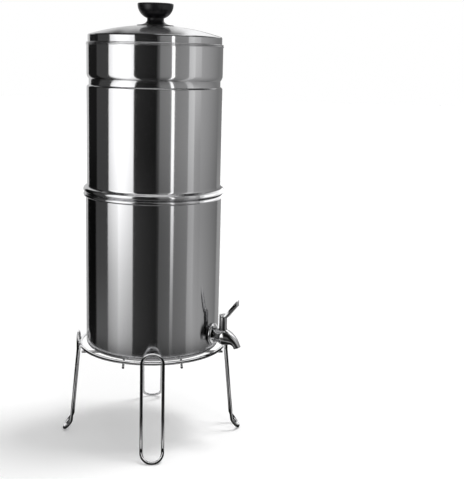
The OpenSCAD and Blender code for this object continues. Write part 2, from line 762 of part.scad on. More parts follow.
module lid() {
    outside = concat(
        [[lid_r, -lid_collar], [lid_r, 0]],
        arc([lid_r + flange_out - flange_t / 2, flange_t / 2], flange_t / 2, flange_t / 2, -90, 90, 8),
        [[lid_r, flange_t]],
        arc([lid_r - lid_round, edge_c], lid_round, lid_round, 0, edge_a, 8),
        arc([0, dome_c], dome_r, dome_r, edge_a, acos((knob_screw_r + hole_gap) / dome_r), 24));
    inside = concat(
        [[lid_r - lid_sheet, -lid_collar]],
        arc([lid_r - lid_round, edge_c], lid_round - lid_sheet, lid_round - lid_sheet, 0, edge_a, 6),
        arc([0, dome_c], dome_r - lid_sheet, dome_r - lid_sheet, edge_a,
            acos((knob_screw_r + hole_gap) / (dome_r - lid_sheet)), 24));
    color(steel) translate([0, 0, lid_z]) turned(concat(outside, reversed(inside)));
}

// A flat-topped bowl on a neck and a flared foot, hollowed below to clear the dome
module lid_knob() {
    color(phenolic) difference() {
        translate([0, 0, knob_z]) turned(concat(
            [[0, knob_hollow], [neck_r, knob_hollow], [knob_foot_r - knob_lip, 0],
             [knob_foot_r, 0]],
            arc([knob_foot_r, neck_z], knob_foot_r - neck_r, neck_z - knob_edge, 270, 180),
            arc([bowl_in, bowl_z], bowl_curve, bowl_curve, -bowl_a, 0, 16),
            arc([knob_r - knob_round, bowl_z], knob_round, knob_round, 0, 90, 8),
            [[0, knob_h]]));
        translate([0, 0, knob_z - 1])
            cylinder(r = insert_r + fit_gap, h = 1 + knob_hollow + insert_l + fit_gap);
    }
}

module knob_insert() {
    color(brass) translate([0, 0, knob_z + knob_hollow]) difference() {
        cylinder(r = insert_r, h = insert_l);
        translate([0, 0, -1]) cylinder(r = knob_screw_r + fit_gap, h = insert_l + 2);
    }
}

module knob_screw() {
    head_z = washer_top_z - knob_washer_t;
    color(steel) difference() {
        union() {
            translate([0, 0, head_z - knob_head_h]) cylinder(r = knob_head_r, h = knob_head_h);
            translate([0, 0, head_z - 1]) cylinder(r = knob_screw_r, h = knob_screw_top - head_z + 1);
        }
        translate([-knob_head_r - 1, -0.6, head_z - knob_head_h - 1])
            cube([2 * knob_head_r + 2, 1.2, 2.4]);
    }
}

module knob_washer() {
    color(steel) translate([0, 0, washer_top_z - knob_washer_t])
        ring_of(knob_screw_r + hole_gap, knob_washer_r, knob_washer_t);
}

stand_ring();
rest_wires_upper();
rest_wires_lower();
leg_front();
leg_right();
leg_back();
leg_left();
lower_chamber();
tap_body();
tap_flange();
tap_washer_outer();
tap_washer_inner();
tap_nut();
tap_bonnet();
valve_plug();
valve_rings();
tap_lever();
lever_screw();
upper_chamber();
candle_shell_left();
candle_shell_right();
candle_base_left();
candle_base_right();
candle_washers();
wing_nut_left();
wing_nut_right();
blanking_plugs();
blanking_washers();
blanking_nuts();
lid();
lid_knob();
knob_insert();
knob_screw();
knob_washer();
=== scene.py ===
"""Gravity water filter: detailed pieces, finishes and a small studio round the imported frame.

Metres throughout. The origin is on the chambers' axis at floor level, +Z up, and the
stand's front leg points along -Y.
"""
import math

import bmesh
import bpy
from bpy.props import FloatProperty, FloatVectorProperty, PointerProperty
from mathutils import Matrix, Vector


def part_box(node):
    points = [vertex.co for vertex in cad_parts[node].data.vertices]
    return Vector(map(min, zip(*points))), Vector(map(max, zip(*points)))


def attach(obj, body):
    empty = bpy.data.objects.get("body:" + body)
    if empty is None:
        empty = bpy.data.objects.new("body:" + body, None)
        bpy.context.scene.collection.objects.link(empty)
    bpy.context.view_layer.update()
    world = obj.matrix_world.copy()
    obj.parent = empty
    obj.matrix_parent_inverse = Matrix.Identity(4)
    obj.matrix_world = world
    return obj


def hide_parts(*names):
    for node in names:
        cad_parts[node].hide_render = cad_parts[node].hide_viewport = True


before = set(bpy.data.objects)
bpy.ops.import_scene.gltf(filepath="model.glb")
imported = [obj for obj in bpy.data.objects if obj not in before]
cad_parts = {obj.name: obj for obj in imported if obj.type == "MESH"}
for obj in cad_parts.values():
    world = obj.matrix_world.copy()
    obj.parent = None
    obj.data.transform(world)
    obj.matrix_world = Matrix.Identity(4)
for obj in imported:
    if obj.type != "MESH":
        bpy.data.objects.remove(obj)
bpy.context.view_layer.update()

bl_info = {
    "name": "Gravity Water Filter",
    "version": (1, 0, 0),
    "blender": (4, 5, 0),
    "location": "View3D > Sidebar > Water Filter",
    "description": "Builds a gravity water filter with its tap, candles, lid and wire stand",
    "category": "Object",
}

MM = 0.001
TURN = 2 * math.pi
ROUND_STEPS = 192
WIRE_SIDES = 24
# Points closer together than this are one
SAME_PLACE = MM / 1000
# Clearance of pieces that hold each other, of holes round what passes through them, and of
# pieces that rest on another body
FIT_GAP = 0.05 * MM
HOLE_GAP = 0.3 * MM
SEAT_GAP = 0.3 * MM
# Sizes in millimetres that others are worked out from
RING_WIRE = 5.5
REST_WIRE = 4
LID_COLLAR = 8
CANDLE_FLOOR = 4


# ---- properties ----

def length(name, millimetres, description):
    """A size given in millimetres and kept in metres."""
    return FloatProperty(name=name, description=description, default=millimetres * MM,
                         min=0, unit="LENGTH", precision=5)


def angle(name, degrees, description):
    return FloatProperty(name=name, description=description, default=math.radians(degrees),
                         subtype="ANGLE")


def factor(name, value, description, top=1.0):
    return FloatProperty(name=name, description=description, default=value, min=0, max=top)


def colour(name, rgb, description):
    return FloatVectorProperty(name=name, description=description, default=rgb, size=3,
                               min=0, max=1, subtype="COLOR")


def low(node, axis=2):
    """A CAD node's lowest coordinate, in millimetres."""
    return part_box(node)[0][axis] / MM


def high(node, axis=2):
    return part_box(node)[1][axis] / MM


class StandSizes(bpy.types.PropertyGroup):
    ring_wire: length("Ring wire", RING_WIRE, "Diameter of the support ring's wire")
    ring_radius: length("Ring radius", high("stand_ring", 0) - RING_WIRE / 2,
                        "Radius of the support ring's centre line")
    ring_height: length("Ring height", high("stand_ring") - RING_WIRE / 2,
                        "Height of the support ring's centre line")
    rest_wire: length("Rest wire", REST_WIRE, "Diameter of the wires that carry the vessel")
    rest_offset: length("Rest wire offset", high("rest_wires_upper", 1) - REST_WIRE / 2,
                        "Distance of each rest wire from the middle")
    rest_reach: length("Rest wire reach", high("rest_wires_upper", 0),
                       "Half the length of a rest wire")
    leg_wire: length("Leg wire", 5, "Diameter of the leg wire")
    leg_width: length("Leg width", 33.2, "Distance between the two wires of a leg")
    kink_drop: length("Kink drop", 8, "Distance from the ring down to the kink in a leg")
    kink_bend: length("Kink bend", 20, "Radius of the kink where a leg turns outward")
    foot_bend: length("Foot bend", 14, "Radius of the bend between a leg and its foot")
    splay: angle("Splay", 5.6, "Splay of the legs from upright")
    foot_slope: angle("Foot slope", 38, "Slope of the feet from upright")


class VesselSizes(bpy.types.PropertyGroup):
    body_radius: length("Body radius", 108, "Outer radius of the lower chamber's wall")
    sheet: length("Sheet", 1, "Thickness of the chambers' steel")
    base_height: length("Base height", low("lower_chamber"), "Height of the lower chamber's base")
    base_round: length("Base round", 9, "Radius of the rounded edge round the base")
    lower_rim: length("Lower rim", high("lower_chamber"), "Height of the lower chamber's rim")
    rim_out: length("Rim reach", 3.7, "How far the rolled rim stands out")
    rim_height: length("Rim height", 6.5, "Height of the rolled rim")
    upper_radius: length("Upper radius", 106, "Outer radius of the upper chamber's wall")
    upper_floor: length("Upper floor", low("upper_chamber"),
                        "Height of the upper floor's underside")
    upper_rim: length("Upper rim", high("upper_chamber"), "Height of the upper chamber's rim")
    floor_round: length("Floor round", 6, "Radius of the edge round the upper chamber's floor")
    bead_radius: length("Bead radius", 4.5, "Radius of the bead that the upper chamber sits on")
    bead_out: length("Bead reach", 6, "How far the bead stands out from the wall")
    bead_fillet: length("Bead fillet", 5, "Radius of the hollow curve above the bead")
    groove_depth: length("Groove depth", 3.3, "Depth of the groove pressed round the wall")
    groove_height: length("Groove height", 9.1, "Height of the groove's straight wall")
    groove_drop: length("Groove drop", 62.8, "Distance from the rim down to the groove")
    lip_radius: length("Lip radius", 4, "Radius of the lip below the groove")
    shoulder_radius: length("Shoulder radius", 12.6, "Radius of the shoulder above the groove")
    top_rim_out: length("Top rim reach", 0.9, "How far the upper chamber's rim stands out")
    top_rim_height: length("Top rim height", 2.2, "Height of the upper chamber's rim")


class LidSizes(bpy.types.PropertyGroup):
    radius: length("Lid radius", 104.1, "Outer radius of the lid's side")
    sheet: length("Lid sheet", 1, "Thickness of the lid's steel")
    seat: length("Lid seat", low("lid") + LID_COLLAR, "Height of the flange's underside")
    collar: length("Lid collar", LID_COLLAR, "Depth of the collar inside the upper chamber")
    flange_out: length("Flange reach", 2.4, "How far the flange reaches out over the rim")
    flange_thick: length("Flange thickness", 1.7, "Thickness of the flange")
    side: length("Lid side", 13.1, "Height of the lid's side above its flange's underside")
    rise: length("Dome rise", 16.2, "Rise of the dome above the side")
    edge_round: length("Edge round", 2.5, "Radius of the edge between side and dome")
    screw_hole: length("Screw hole", 3.3, "Radius of the hole for the knob's screw")


class KnobSizes(bpy.types.PropertyGroup):
    foot: length("Knob foot height", low("lid_knob"), "Height of the lowest edge of the knob")
    height: length("Knob height", 33.8, "Height of the knob")
    radius: length("Knob radius", 27.8, "Radius of the bowl at its widest")
    bowl_curve: length("Bowl curve", 22, "Radius of the curve that rounds the bowl inward")
    neck: length("Neck radius", 13, "Radius of the knob's neck")
    neck_height: length("Neck height", 8.6, "Height at which the foot meets the neck")
    foot_radius: length("Foot radius", 28.6, "Radius of the flared foot")
    foot_edge: length("Foot edge", 1, "Thickness of the foot's edge")
    top_round: length("Top round", 1.6, "Radius of the edge round the flat top")


class TapSizes(bpy.types.PropertyGroup):
    turn: angle("Tap direction", -28.5, "Direction of the tap, from +X towards +Y")
    height: length("Tap height", low("lower_chamber") + 29.6, "Height of the tap's axis")
    valve_reach: length("Valve reach", 127, "Distance of the valve's axis from the chambers' axis")
    valve_radius: length("Body radius", 13.2, "Outer radius of the tap's body round the valve")
    valve_low: length("Valve low", 9.8, "Depth of the valve's bore below the tap's axis")
    valve_high: length("Valve high", 12, "Height of the valve's bore above the tap's axis")
    valve_bore: length("Valve bore", 6.75, "Radius of the bore that the plug turns in")
    shank: length("Shank radius", 8, "Radius of the threaded shank")
    shank_inner: length("Shank end", 90, "Distance of the shank's inner end from the axis")
    root: length("Body root", 10.2, "Outer radius of the body where it leaves the flange")
    flange_radius: length("Flange radius", 17.5, "Radius of the dished wall flange")
    flange_back: length("Flange back", 110, "Distance of the flange's back from the axis")
    flange_thick: length("Flange thickness", 3.4, "Thickness of the flange at its middle")
    flange_lip: length("Flange lip", 1.6, "How far the flange's rim reaches back over its washer")
    outlet_reach: length("Outlet reach", 25.2, "Distance of the outlet from the valve's axis")
    outlet_drop: length("Outlet drop", 17.3, "Drop of the outlet below the tap's axis")
    outlet_tilt: angle("Outlet tilt", 20, "Tilt of the outlet from straight down")
    outlet_bore_length: length("Outlet depth", 9, "Length of the outlet's bore")
    outlet_pull: length("Outlet pull", 17, "Reach of the guide that aims the spout's end")
    bend_reach: length("Bend reach", 6, "Distance past the valve of the guide for the bend")
    bend_drop: length("Bend drop", 2.5, "Depth of the guide for the bend below the axis")
    spout_radius: length("Spout radius", 5.9, "Outer radius of the body at its outlet")
    outlet_bore: length("Outlet bore", 4.5, "Radius of the outlet's bore")
    water_way: length("Water way", 3.5, "Radius of the water way through the body")
    bonnet_radius: length("Bonnet radius", 6.35, "Radius of the bonnet")
    bonnet_height: length("Bonnet height", 18.4, "Height of the bonnet above the valve's bore")
    stem: length("Stem radius", 3, "Radius of the stem inside the bonnet")
    screw: length("Screw radius", 1.8, "Radius of the screw that holds the lever")
    recess: length("Recess radius", 2.9, "Radius of the recess for the screw's head")
    recess_depth: length("Recess depth", 1.6, "Depth of the recess for the screw's head")
    hub_height: length("Hub height", 3.8, "Height of the lever's hub")
    lever_reach: length("Lever reach", 25, "Reach of the lever's tip from the valve's axis")
    lever_lift: length("Lever lift", 26, "Height of the lever's tip above its hub")
    lever_root: length("Lever root", 3.6, "Where the top of the bar leaves the hub")
    lever_depth: length("Lever depth", 5.8, "Depth of the lever's bar")
    lever_tip: length("Lever tip", 10.4, "Width of the bar at its tip")


class CandleSizes(bpy.types.PropertyGroup):
    radius: length("Candle radius", 34.5, "Radius of the ceramic shell")
    wall: length("Candle wall", 8, "Thickness of the ceramic")
    pitch: length("Candle pitch", 50, "Distance of each candle from the chambers' axis")
    foot: length("Candle foot", low("candle_shell_left") - CANDLE_FLOOR,
                 "Height of the base's underside")
    top: length("Candle top", high("candle_shell_left"), "Height of the top of the ceramic")
    base_height: length("Base height", 14, "Height of the plastic base")
    base_floor: length("Base floor", CANDLE_FLOOR, "Thickness of the floor of the base")
    base_wall: length("Base wall", 1.65, "Thickness of the side of the base")
    stem: length("Stem radius", 5, "Radius of the threaded stem")
    stem_bore: length("Stem bore", 2.5, "Radius of the water passage")
    stem_low: length("Stem end", low("candle_base_left"), "Height of the stem's lower end")


class Finishes(bpy.types.PropertyGroup):
    steel: colour("Vessel steel", (0.80, 0.80, 0.81), "Polished sheet of the chambers and lid")
    chrome: colour("Chrome", (0.86, 0.86, 0.87), "Plated wire and tap")
    rubber: colour("Rubber", (0.018, 0.018, 0.019), "Washers and rings")
    brass: colour("Brass", (0.72, 0.52, 0.22), "Plug, nut and insert")
    ceramic: colour("Ceramic", (0.84, 0.83, 0.80), "Filter candles")
    blue_plastic: colour("Blue plastic", (0.018, 0.026, 0.125), "Candle bases and plugs")
    white_plastic: colour("White plastic", (0.78, 0.78, 0.76), "Wing nuts and nuts")
    knob_black: colour("Knob black", (0.010, 0.010, 0.011), "Moulded knob")


class StageSizes(bpy.types.PropertyGroup):
    floor: colour("Floor", (0.86, 0.86, 0.86), "Colour of the floor")
    floor_glow: factor("Floor glow", 0.17, "Light the floor adds for the camera")
    fill: factor("Fill", 0.52, "Strength of the even light from all round", 4)
    key: factor("Main lamp", 1.26, "Strength of the soft light from above", 10)
    right_key: factor("Right lamp", 0.36, "Strength of the soft light from behind right", 10)
    front_key: factor("Front lamp", 0.30, "Strength of the soft light from the front", 10)


GROUPS = {
    "filter_stand": StandSizes, "filter_vessel": VesselSizes, "filter_lid": LidSizes,
    "filter_knob": KnobSizes, "filter_tap": TapSizes, "filter_candle": CandleSizes,
    "filter_finish": Finishes, "filter_stage": StageSizes,
}


# ---- modelling ----

class Outline:
    """A chain of edges in the XZ plane, with X as the radius, that turns into a round piece."""

    def __init__(self, r, z):
        self.bm = bmesh.new()
        self.end = self.bm.verts.new((r, 0, z))

    def line(self, r, z):
        new = self.bm.verts.new((r, 0, z))
        self.bm.edges.new((self.end, new))
        self.end = new
        return self

    def arc(self, r, z, turn, steps):
        """Goes on round a centre by an angle in radians, positive from +X towards +Z."""
        made = bmesh.ops.spin(self.bm, geom=[self.end], cent=(r, 0, z), axis=(0, -1, 0),
                              angle=turn, steps=steps)
        self.end = next(g for g in made["geom_last"] if isinstance(g, bmesh.types.BMVert))
        return self

    def ellipse(self, r, z, wide, high, first, last, steps):
        """Goes on round an ellipse, from just past one angle in degrees to another."""
        for i in range(1, steps + 1):
            a = math.radians(first + (last - first) * i / steps)
            self.line(r + wide * math.cos(a), z + high * math.sin(a))
        return self

    def bulge(self, r, z, reach, height, steps):
        """Half an ellipse outward, upward from the chain's end, round a centre."""
        before = set(self.bm.verts)
        self.line(r, z - height / 2).arc(r, z, math.pi, steps)
        new = [v for v in self.bm.verts if v not in before]
        bmesh.ops.scale(self.bm, verts=new, vec=(2 * reach / height, 1, 1),
                        space=Matrix.Translation((-r, 0, -z)))
        return self

    def join(self, other):
        """Adds another chain, which ends where this one does."""
        mesh = as_mesh(other.bm, "chain")
        self.bm.from_mesh(mesh)
        bpy.data.meshes.remove(mesh)
        return self

    def turned(self, steps=ROUND_STEPS):
        bm = self.bm
        bmesh.ops.remove_doubles(bm, verts=bm.verts[:], dist=SAME_PLACE)
        bmesh.ops.spin(bm, geom=bm.verts[:] + bm.edges[:], cent=(0, 0, 0), axis=(0, 0, 1),
                       angle=TURN, steps=steps, use_merge=True)
        bmesh.ops.remove_doubles(bm, verts=bm.verts[:], dist=SAME_PLACE)
        bmesh.ops.recalc_face_normals(bm, faces=bm.faces[:])
        return bm


class Wire:
    """A round wire that grows from a circle by straights and bends."""

    def __init__(self, diameter, centre, along, bm=None):
        self.bm = bm or bmesh.new()
        place = (Matrix.Translation(centre)
                 @ Vector(along).to_track_quat("Z", "X").to_matrix().to_4x4())
        self.ring = list(bmesh.ops.create_circle(self.bm, segments=WIRE_SIDES,
                                                 radius=diameter / 2, matrix=place)["verts"])

    def edges(self):
        return edges_among(self.bm, self.ring)

    def straight(self, way):
        made = bmesh.ops.extrude_edge_only(self.bm, edges=self.edges())["geom"]
        self.ring = [g for g in made if isinstance(g, bmesh.types.BMVert)]
        bmesh.ops.translate(self.bm, verts=self.ring, vec=way)
        return self

    def bend(self, centre, axis, turn, steps):
        made = bmesh.ops.spin(self.bm, geom=self.ring + self.edges(), cent=centre, axis=axis,
                              angle=turn, steps=steps)["geom_last"]
        self.ring = [g for g in made if isinstance(g, bmesh.types.BMVert)]
        return self

    def cap(self, ring):
        bmesh.ops.contextual_create(self.bm, geom=ring)


def edges_among(bm, verts):
    """The edges that have both ends among some vertices."""
    among = set(verts)
    return [e for e in bm.edges if e.verts[0] in among and e.verts[1] in among]


def rod(radius, lo, hi, steps):
    """A closed cylinder round the Z axis between two heights."""
    return Outline(0, lo).line(radius, lo).line(radius, hi).line(0, hi).turned(steps)


def moved(bm, x=0, y=0, z=0):
    bmesh.ops.translate(bm, verts=bm.verts[:], vec=(x, y, z))
    return bm


def rotated(bm, turn, axis="Z"):
    bmesh.ops.rotate(bm, verts=bm.verts[:], cent=(0, 0, 0), matrix=Matrix.Rotation(turn, 3, axis))
    return bm


def aimed(bm, start, way):
    """Stands a mesh that was drawn along +Z on a start point, along another way."""
    bmesh.ops.transform(bm, verts=bm.verts[:], matrix=Matrix.Translation(start)
                        @ way.to_track_quat("Z", "Y").to_matrix().to_4x4())
    return bm


def bevelled(bm, width, sharper_than):
    """Rounds the edges of a mesh that turn by more than an angle in degrees."""
    limit = math.radians(sharper_than)
    edges = [e for e in bm.edges if len(e.link_faces) == 2 and e.calc_face_angle(0) > limit]
    bmesh.ops.bevel(bm, geom=edges, offset=width, offset_type="OFFSET", segments=3,
                    profile=0.5, affect="EDGES", material=-1, clamp_overlap=True)
    return bm


def as_mesh(bm, name):
    mesh = bpy.data.meshes.new(name)
    bm.to_mesh(mesh)
    bm.free()
    return mesh


def as_bmesh(mesh):
    bm = bmesh.new()
    bm.from_mesh(mesh)
    bpy.data.meshes.remove(mesh)
    return bm


def linked(name, data):
    """A new object in the scene."""
    obj = bpy.data.objects.new(name, data)
    bpy.context.scene.collection.objects.link(obj)
    return obj


def piece(bm, name, body, slot, node, crease=40):
    """Makes a mesh into an object that rides on a body and is shown in place of a CAD node."""
    bmesh.ops.remove_doubles(bm, verts=bm.verts[:], dist=SAME_PLACE)
    bmesh.ops.recalc_face_normals(bm, faces=bm.faces[:])
    shown(as_mesh(bm, name), name, body, slot, node, crease)


def shown(mesh, name, body, slot, node, crease):
    """Shows a mesh, smooth but for the edges that turn by more than an angle in degrees."""
    mesh.materials.clear()
    mesh.materials.append(finish(slot))
    mesh.shade_smooth()
    mesh.set_sharp_from_angle(angle=math.radians(crease))
    obj = linked(name, mesh)
    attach(obj, body)
    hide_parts(node)


def dress(node, slot):
    """Gives a CAD node that is shown as it is the material of a slot."""
    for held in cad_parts[node].material_slots:
        held.material = finish(slot)


def place_at_tap(bm):
    """Turns a mesh drawn with the tap along +X to the tap's direction."""
    return rotated(bm, bpy.context.scene.filter_tap.turn)


def along_u(bm, z):
    """Lays a piece that was turned round Z on its side, along +X at a height."""
    return moved(rotated(bm, math.pi / 2, "Y"), z=z)


def hidden_object(bm):
    """An object from a mesh, for a modifier to use and throw away."""
    return linked("helper", as_mesh(bm, "helper"))


def boolean_mesh(base, others, name, operation="DIFFERENCE"):
    """Cuts closed meshes out of another, or joins them to it."""
    obj = hidden_object(base)
    helpers = [hidden_object(other) for other in others]
    for helper in helpers:
        step = obj.modifiers.new("step", "BOOLEAN")
        step.operation = operation
        step.solver = "EXACT"
        step.object = helper
    bpy.context.view_layer.update()
    made = bpy.data.meshes.new_from_object(
        obj.evaluated_get(bpy.context.evaluated_depsgraph_get()))
    made.name = name
    for used in helpers + [obj]:
        old = used.data
        bpy.data.objects.remove(used)
        bpy.data.meshes.remove(old)
    return made


def union(a, b):
    """One mesh from two closed ones that overlap."""
    return as_bmesh(boolean_mesh(a, [b], "joined", "UNION"))


# ---- node groups ----

def group(name, inputs, outputs):
    """An empty shader group with named inputs and outputs, and its two end nodes."""
    tree = bpy.data.node_groups.new(name, "ShaderNodeTree")
    for label, value in inputs:
        tree.interface.new_socket(label, in_out="INPUT", socket_type="NodeSocketFloat"
                                  ).default_value = value
    for label in outputs:
        tree.interface.new_socket(label, in_out="OUTPUT", socket_type="NodeSocketFloat")
    return tree, tree.nodes.new("NodeGroupInput"), tree.nodes.new("NodeGroupOutput")


def feed(tree, socket, value):
    """Links a socket to another one, or sets it to a number."""
    if isinstance(value, bpy.types.NodeSocket):
        tree.links.new(value, socket)
    else:
        socket.default_value = value


def maths(tree, operation, *values):
    node = tree.nodes.new("ShaderNodeMath")
    node.operation = operation
    for socket, value in zip(node.inputs, values):
        feed(tree, socket, value)
    return node.outputs[0]


def noise(tree, vector, scale, detail, rough, fourth=None):
    node = tree.nodes.new("ShaderNodeTexNoise")
    if fourth is not None:
        node.noise_dimensions = "4D"
        tree.links.new(fourth, node.inputs["W"])
    tree.links.new(vector, node.inputs["Vector"])
    for label, value in (("Scale", scale), ("Detail", detail), ("Roughness", rough)):
        feed(tree, node.inputs[label], value)
    return node.outputs[0]


def spread(tree, value, low_in, high_in, low_out, high_out):
    node = tree.nodes.new("ShaderNodeMapRange")
    for label, given in (("Value", value), ("From Min", low_in), ("From Max", high_in),
                         ("To Min", low_out), ("To Max", high_out)):
        feed(tree, node.inputs[label], given)
    return node.outputs["Result"]


def own_place(tree):
    """Where a point is in its object."""
    return tree.nodes.new("ShaderNodeTexCoord").outputs["Object"]


def taken_apart(tree, vector):
    """The X, Y and Z of a vector."""
    split = tree.nodes.new("ShaderNodeSeparateXYZ")
    tree.links.new(vector, split.inputs[0])
    return split.outputs


def level_distance(tree, x, y):
    """How far a place is from the Z axis."""
    return maths(tree, "SQRT", maths(tree, "ADD", maths(tree, "MULTIPLY", x, x),
                                     maths(tree, "MULTIPLY", y, y)))


def turned_grain():
    """Fine lines that run round the Z axis, as spinning and polishing leave them."""
    tree, given, out = group("turned_grain", [("Lines per metre", 900.0), ("Wander", 3.0)],
                             ["Lines"])
    lines_per_metre, wander = given.outputs[:2]
    x, y, z = taken_apart(tree, own_place(tree))
    r = level_distance(tree, x, y)
    safe = maths(tree, "MAXIMUM", r, 0.5 * MM)
    mix = tree.nodes.new("ShaderNodeCombineXYZ")
    for socket, side in zip(mix.inputs, (x, y)):
        round_axis = maths(tree, "MULTIPLY", maths(tree, "DIVIDE", side, safe), wander)
        tree.links.new(round_axis, socket)
    tree.links.new(maths(tree, "MULTIPLY", z, lines_per_metre), mix.inputs[2])
    lines = noise(tree, mix.outputs[0], 1.0, 3.0, 0.6,
                  fourth=maths(tree, "MULTIPLY", r, lines_per_metre))
    tree.links.new(lines, out.inputs["Lines"])
    return tree


def handling_marks():
    """Soft cloudy patches where polish is uneven or hands have been."""
    tree, given, out = group("handling_marks", [("Patches per metre", 14.0)], ["Marks"])
    cloud = noise(tree, own_place(tree), given.outputs[0], 4.0, 0.55)
    tree.links.new(spread(tree, cloud, 0.38, 0.68, 0.0, 1.0), out.inputs["Marks"])
    return tree


def fine_grain():
    """Small even bumps, as on moulded rubber and plastic or unglazed ceramic."""
    tree, given, out = group("fine_grain", [("Grains per metre", 2500.0)], ["Height"])
    bumps = noise(tree, own_place(tree), given.outputs[0], 3.0, 0.6)
    tree.links.new(bumps, out.inputs["Height"])
    return tree


def placed(tree, source, **values):
    """A group node in a material, with its named inputs set."""
    node = tree.nodes.new("ShaderNodeGroup")
    node.node_tree = bpy.data.node_groups.get(source.__name__) or source()
    for label, value in values.items():
        node.inputs[label.replace("_", " ")].default_value = value
    return node.outputs[0]


# ---- materials ----

def shader(name, base, **sockets):
    """A material with a Principled shader whose plain values are set on its sockets."""
    material = bpy.data.materials.new(name)
    material.use_nodes = True
    material.diffuse_color = (*base, 1)
    tree = material.node_tree
    bsdf = next(n for n in tree.nodes if n.type == "BSDF_PRINCIPLED")
    bsdf.inputs["Base Color"].default_value = (*base, 1)
    for label, value in sockets.items():
        bsdf.inputs[label.replace("_", " ")].default_value = value
    return material, tree, bsdf


def tinted(tree, base, amount, value):
    """The base colour, darkened where a value is low."""
    mix = tree.nodes.new("ShaderNodeMix")
    mix.data_type = "RGBA"
    tree.links.new(value, mix.inputs["Factor"])
    mix.inputs["A"].default_value = (*[c * (1 - amount) for c in base], 1)
    mix.inputs["B"].default_value = (*base, 1)
    return mix.outputs["Result"]


def bumped(tree, bsdf, height, strength, distance):
    bump = tree.nodes.new("ShaderNodeBump")
    bump.inputs["Strength"].default_value = strength
    bump.inputs["Distance"].default_value = distance
    tree.links.new(height, bump.inputs["Height"])
    tree.links.new(bump.outputs["Normal"], bsdf.inputs["Normal"])


def polished_steel(base):
    material, tree, bsdf = shader("polished_steel", base, Metallic=1.0, Anisotropic=0.95,
                                  Anisotropic_Rotation=0.25)
    lines = placed(tree, turned_grain, Lines_per_metre=1400.0, Wander=2.5)
    marks = placed(tree, handling_marks, Patches_per_metre=9.0)
    rough = maths(tree, "ADD", spread(tree, lines, 0.3, 0.7, 0.125, 0.145),
                  maths(tree, "MULTIPLY", marks, 0.02))
    tree.links.new(rough, bsdf.inputs["Roughness"])
    tree.links.new(tinted(tree, base, 0.05, lines), bsdf.inputs["Base Color"])
    tangent = tree.nodes.new("ShaderNodeTangent")
    tangent.direction_type = "RADIAL"
    tangent.axis = "Z"
    tree.links.new(tangent.outputs[0], bsdf.inputs["Tangent"])
    return material


def marked_metal(name, base, patches, smooth, rough, shade):
    """A metal whose roughness and shade vary with the marks of handling."""
    material, tree, bsdf = shader(name, base, Metallic=1.0)
    marks = placed(tree, handling_marks, Patches_per_metre=patches)
    tree.links.new(spread(tree, marks, 0.0, 1.0, smooth, rough), bsdf.inputs["Roughness"])
    tree.links.new(tinted(tree, base, shade, marks), bsdf.inputs["Base Color"])
    return material, tree, bsdf


def bright_chrome(base):
    material, tree, bsdf = marked_metal("bright_chrome", base, 60.0, 0.03, 0.06, 0.06)
    grain = placed(tree, fine_grain, Grains_per_metre=900.0)
    bumped(tree, bsdf, grain, 0.04, 0.1 * MM)
    return material


def turned_brass(base):
    return marked_metal("turned_brass", base, 90.0, 0.22, 0.38, 0.2)[0]


def screw_steel(base):
    return marked_metal("screw_steel", base, 120.0, 0.25, 0.4, 0.1)[0]


def black_rubber(base):
    material, tree, bsdf = shader("black_rubber", base, Roughness=0.72)
    grain = placed(tree, fine_grain, Grains_per_metre=3000.0)
    tree.links.new(tinted(tree, base, 0.3, grain), bsdf.inputs["Base Color"])
    bumped(tree, bsdf, grain, 0.3, 0.1 * MM)
    return material


def raw_ceramic(base):
    material, tree, bsdf = shader("raw_ceramic", base, Roughness=0.85)
    grain = placed(tree, fine_grain, Grains_per_metre=1600.0)
    marks = placed(tree, handling_marks, Patches_per_metre=30.0)
    tree.links.new(tinted(tree, base, 0.06, marks), bsdf.inputs["Base Color"])
    bumped(tree, bsdf, grain, 0.35, 0.2 * MM)
    return material


def moulded(name, base, rough, strength):
    material, tree, bsdf = shader(name, base)
    grain = placed(tree, fine_grain, Grains_per_metre=1800.0)
    marks = placed(tree, handling_marks, Patches_per_metre=40.0)
    tree.links.new(spread(tree, marks, 0.0, 1.0, rough - 0.04, rough + 0.05),
                   bsdf.inputs["Roughness"])
    tree.links.new(tinted(tree, base, 0.12, marks), bsdf.inputs["Base Color"])
    bumped(tree, bsdf, grain, strength, 0.1 * MM)
    return material


def blue_plastic(base):
    return moulded("blue_plastic", base, 0.42, 0.12)


def white_plastic(base):
    return moulded("white_plastic", base, 0.45, 0.12)


def knob_black(base):
    return moulded("knob_black", base, 0.33, 0.05)


# How each slot's material is made, and from which colour
MAKERS = {
    "stand_wire": (bright_chrome, "chrome"),
    "vessel_steel": (polished_steel, "steel"),
    "tap_chrome": (bright_chrome, "chrome"),
    "black_rubber": (black_rubber, "rubber"),
    "tap_brass": (turned_brass, "brass"),
    "screw_steel": (screw_steel, "steel"),
    "candle_ceramic": (raw_ceramic, "ceramic"),
    "candle_plastic": (blue_plastic, "blue_plastic"),
    "nut_plastic": (white_plastic, "white_plastic"),
    "knob_phenolic": (knob_black, "knob_black"),
}
MADE = {}


def finish(slot):
    """The material of a slot, made once."""
    if slot not in MADE:
        maker, base = MAKERS[slot]
        MADE[slot] = maker(tuple(getattr(bpy.context.scene.filter_finish, base)))
    return MADE[slot]


# ---- the stand ----

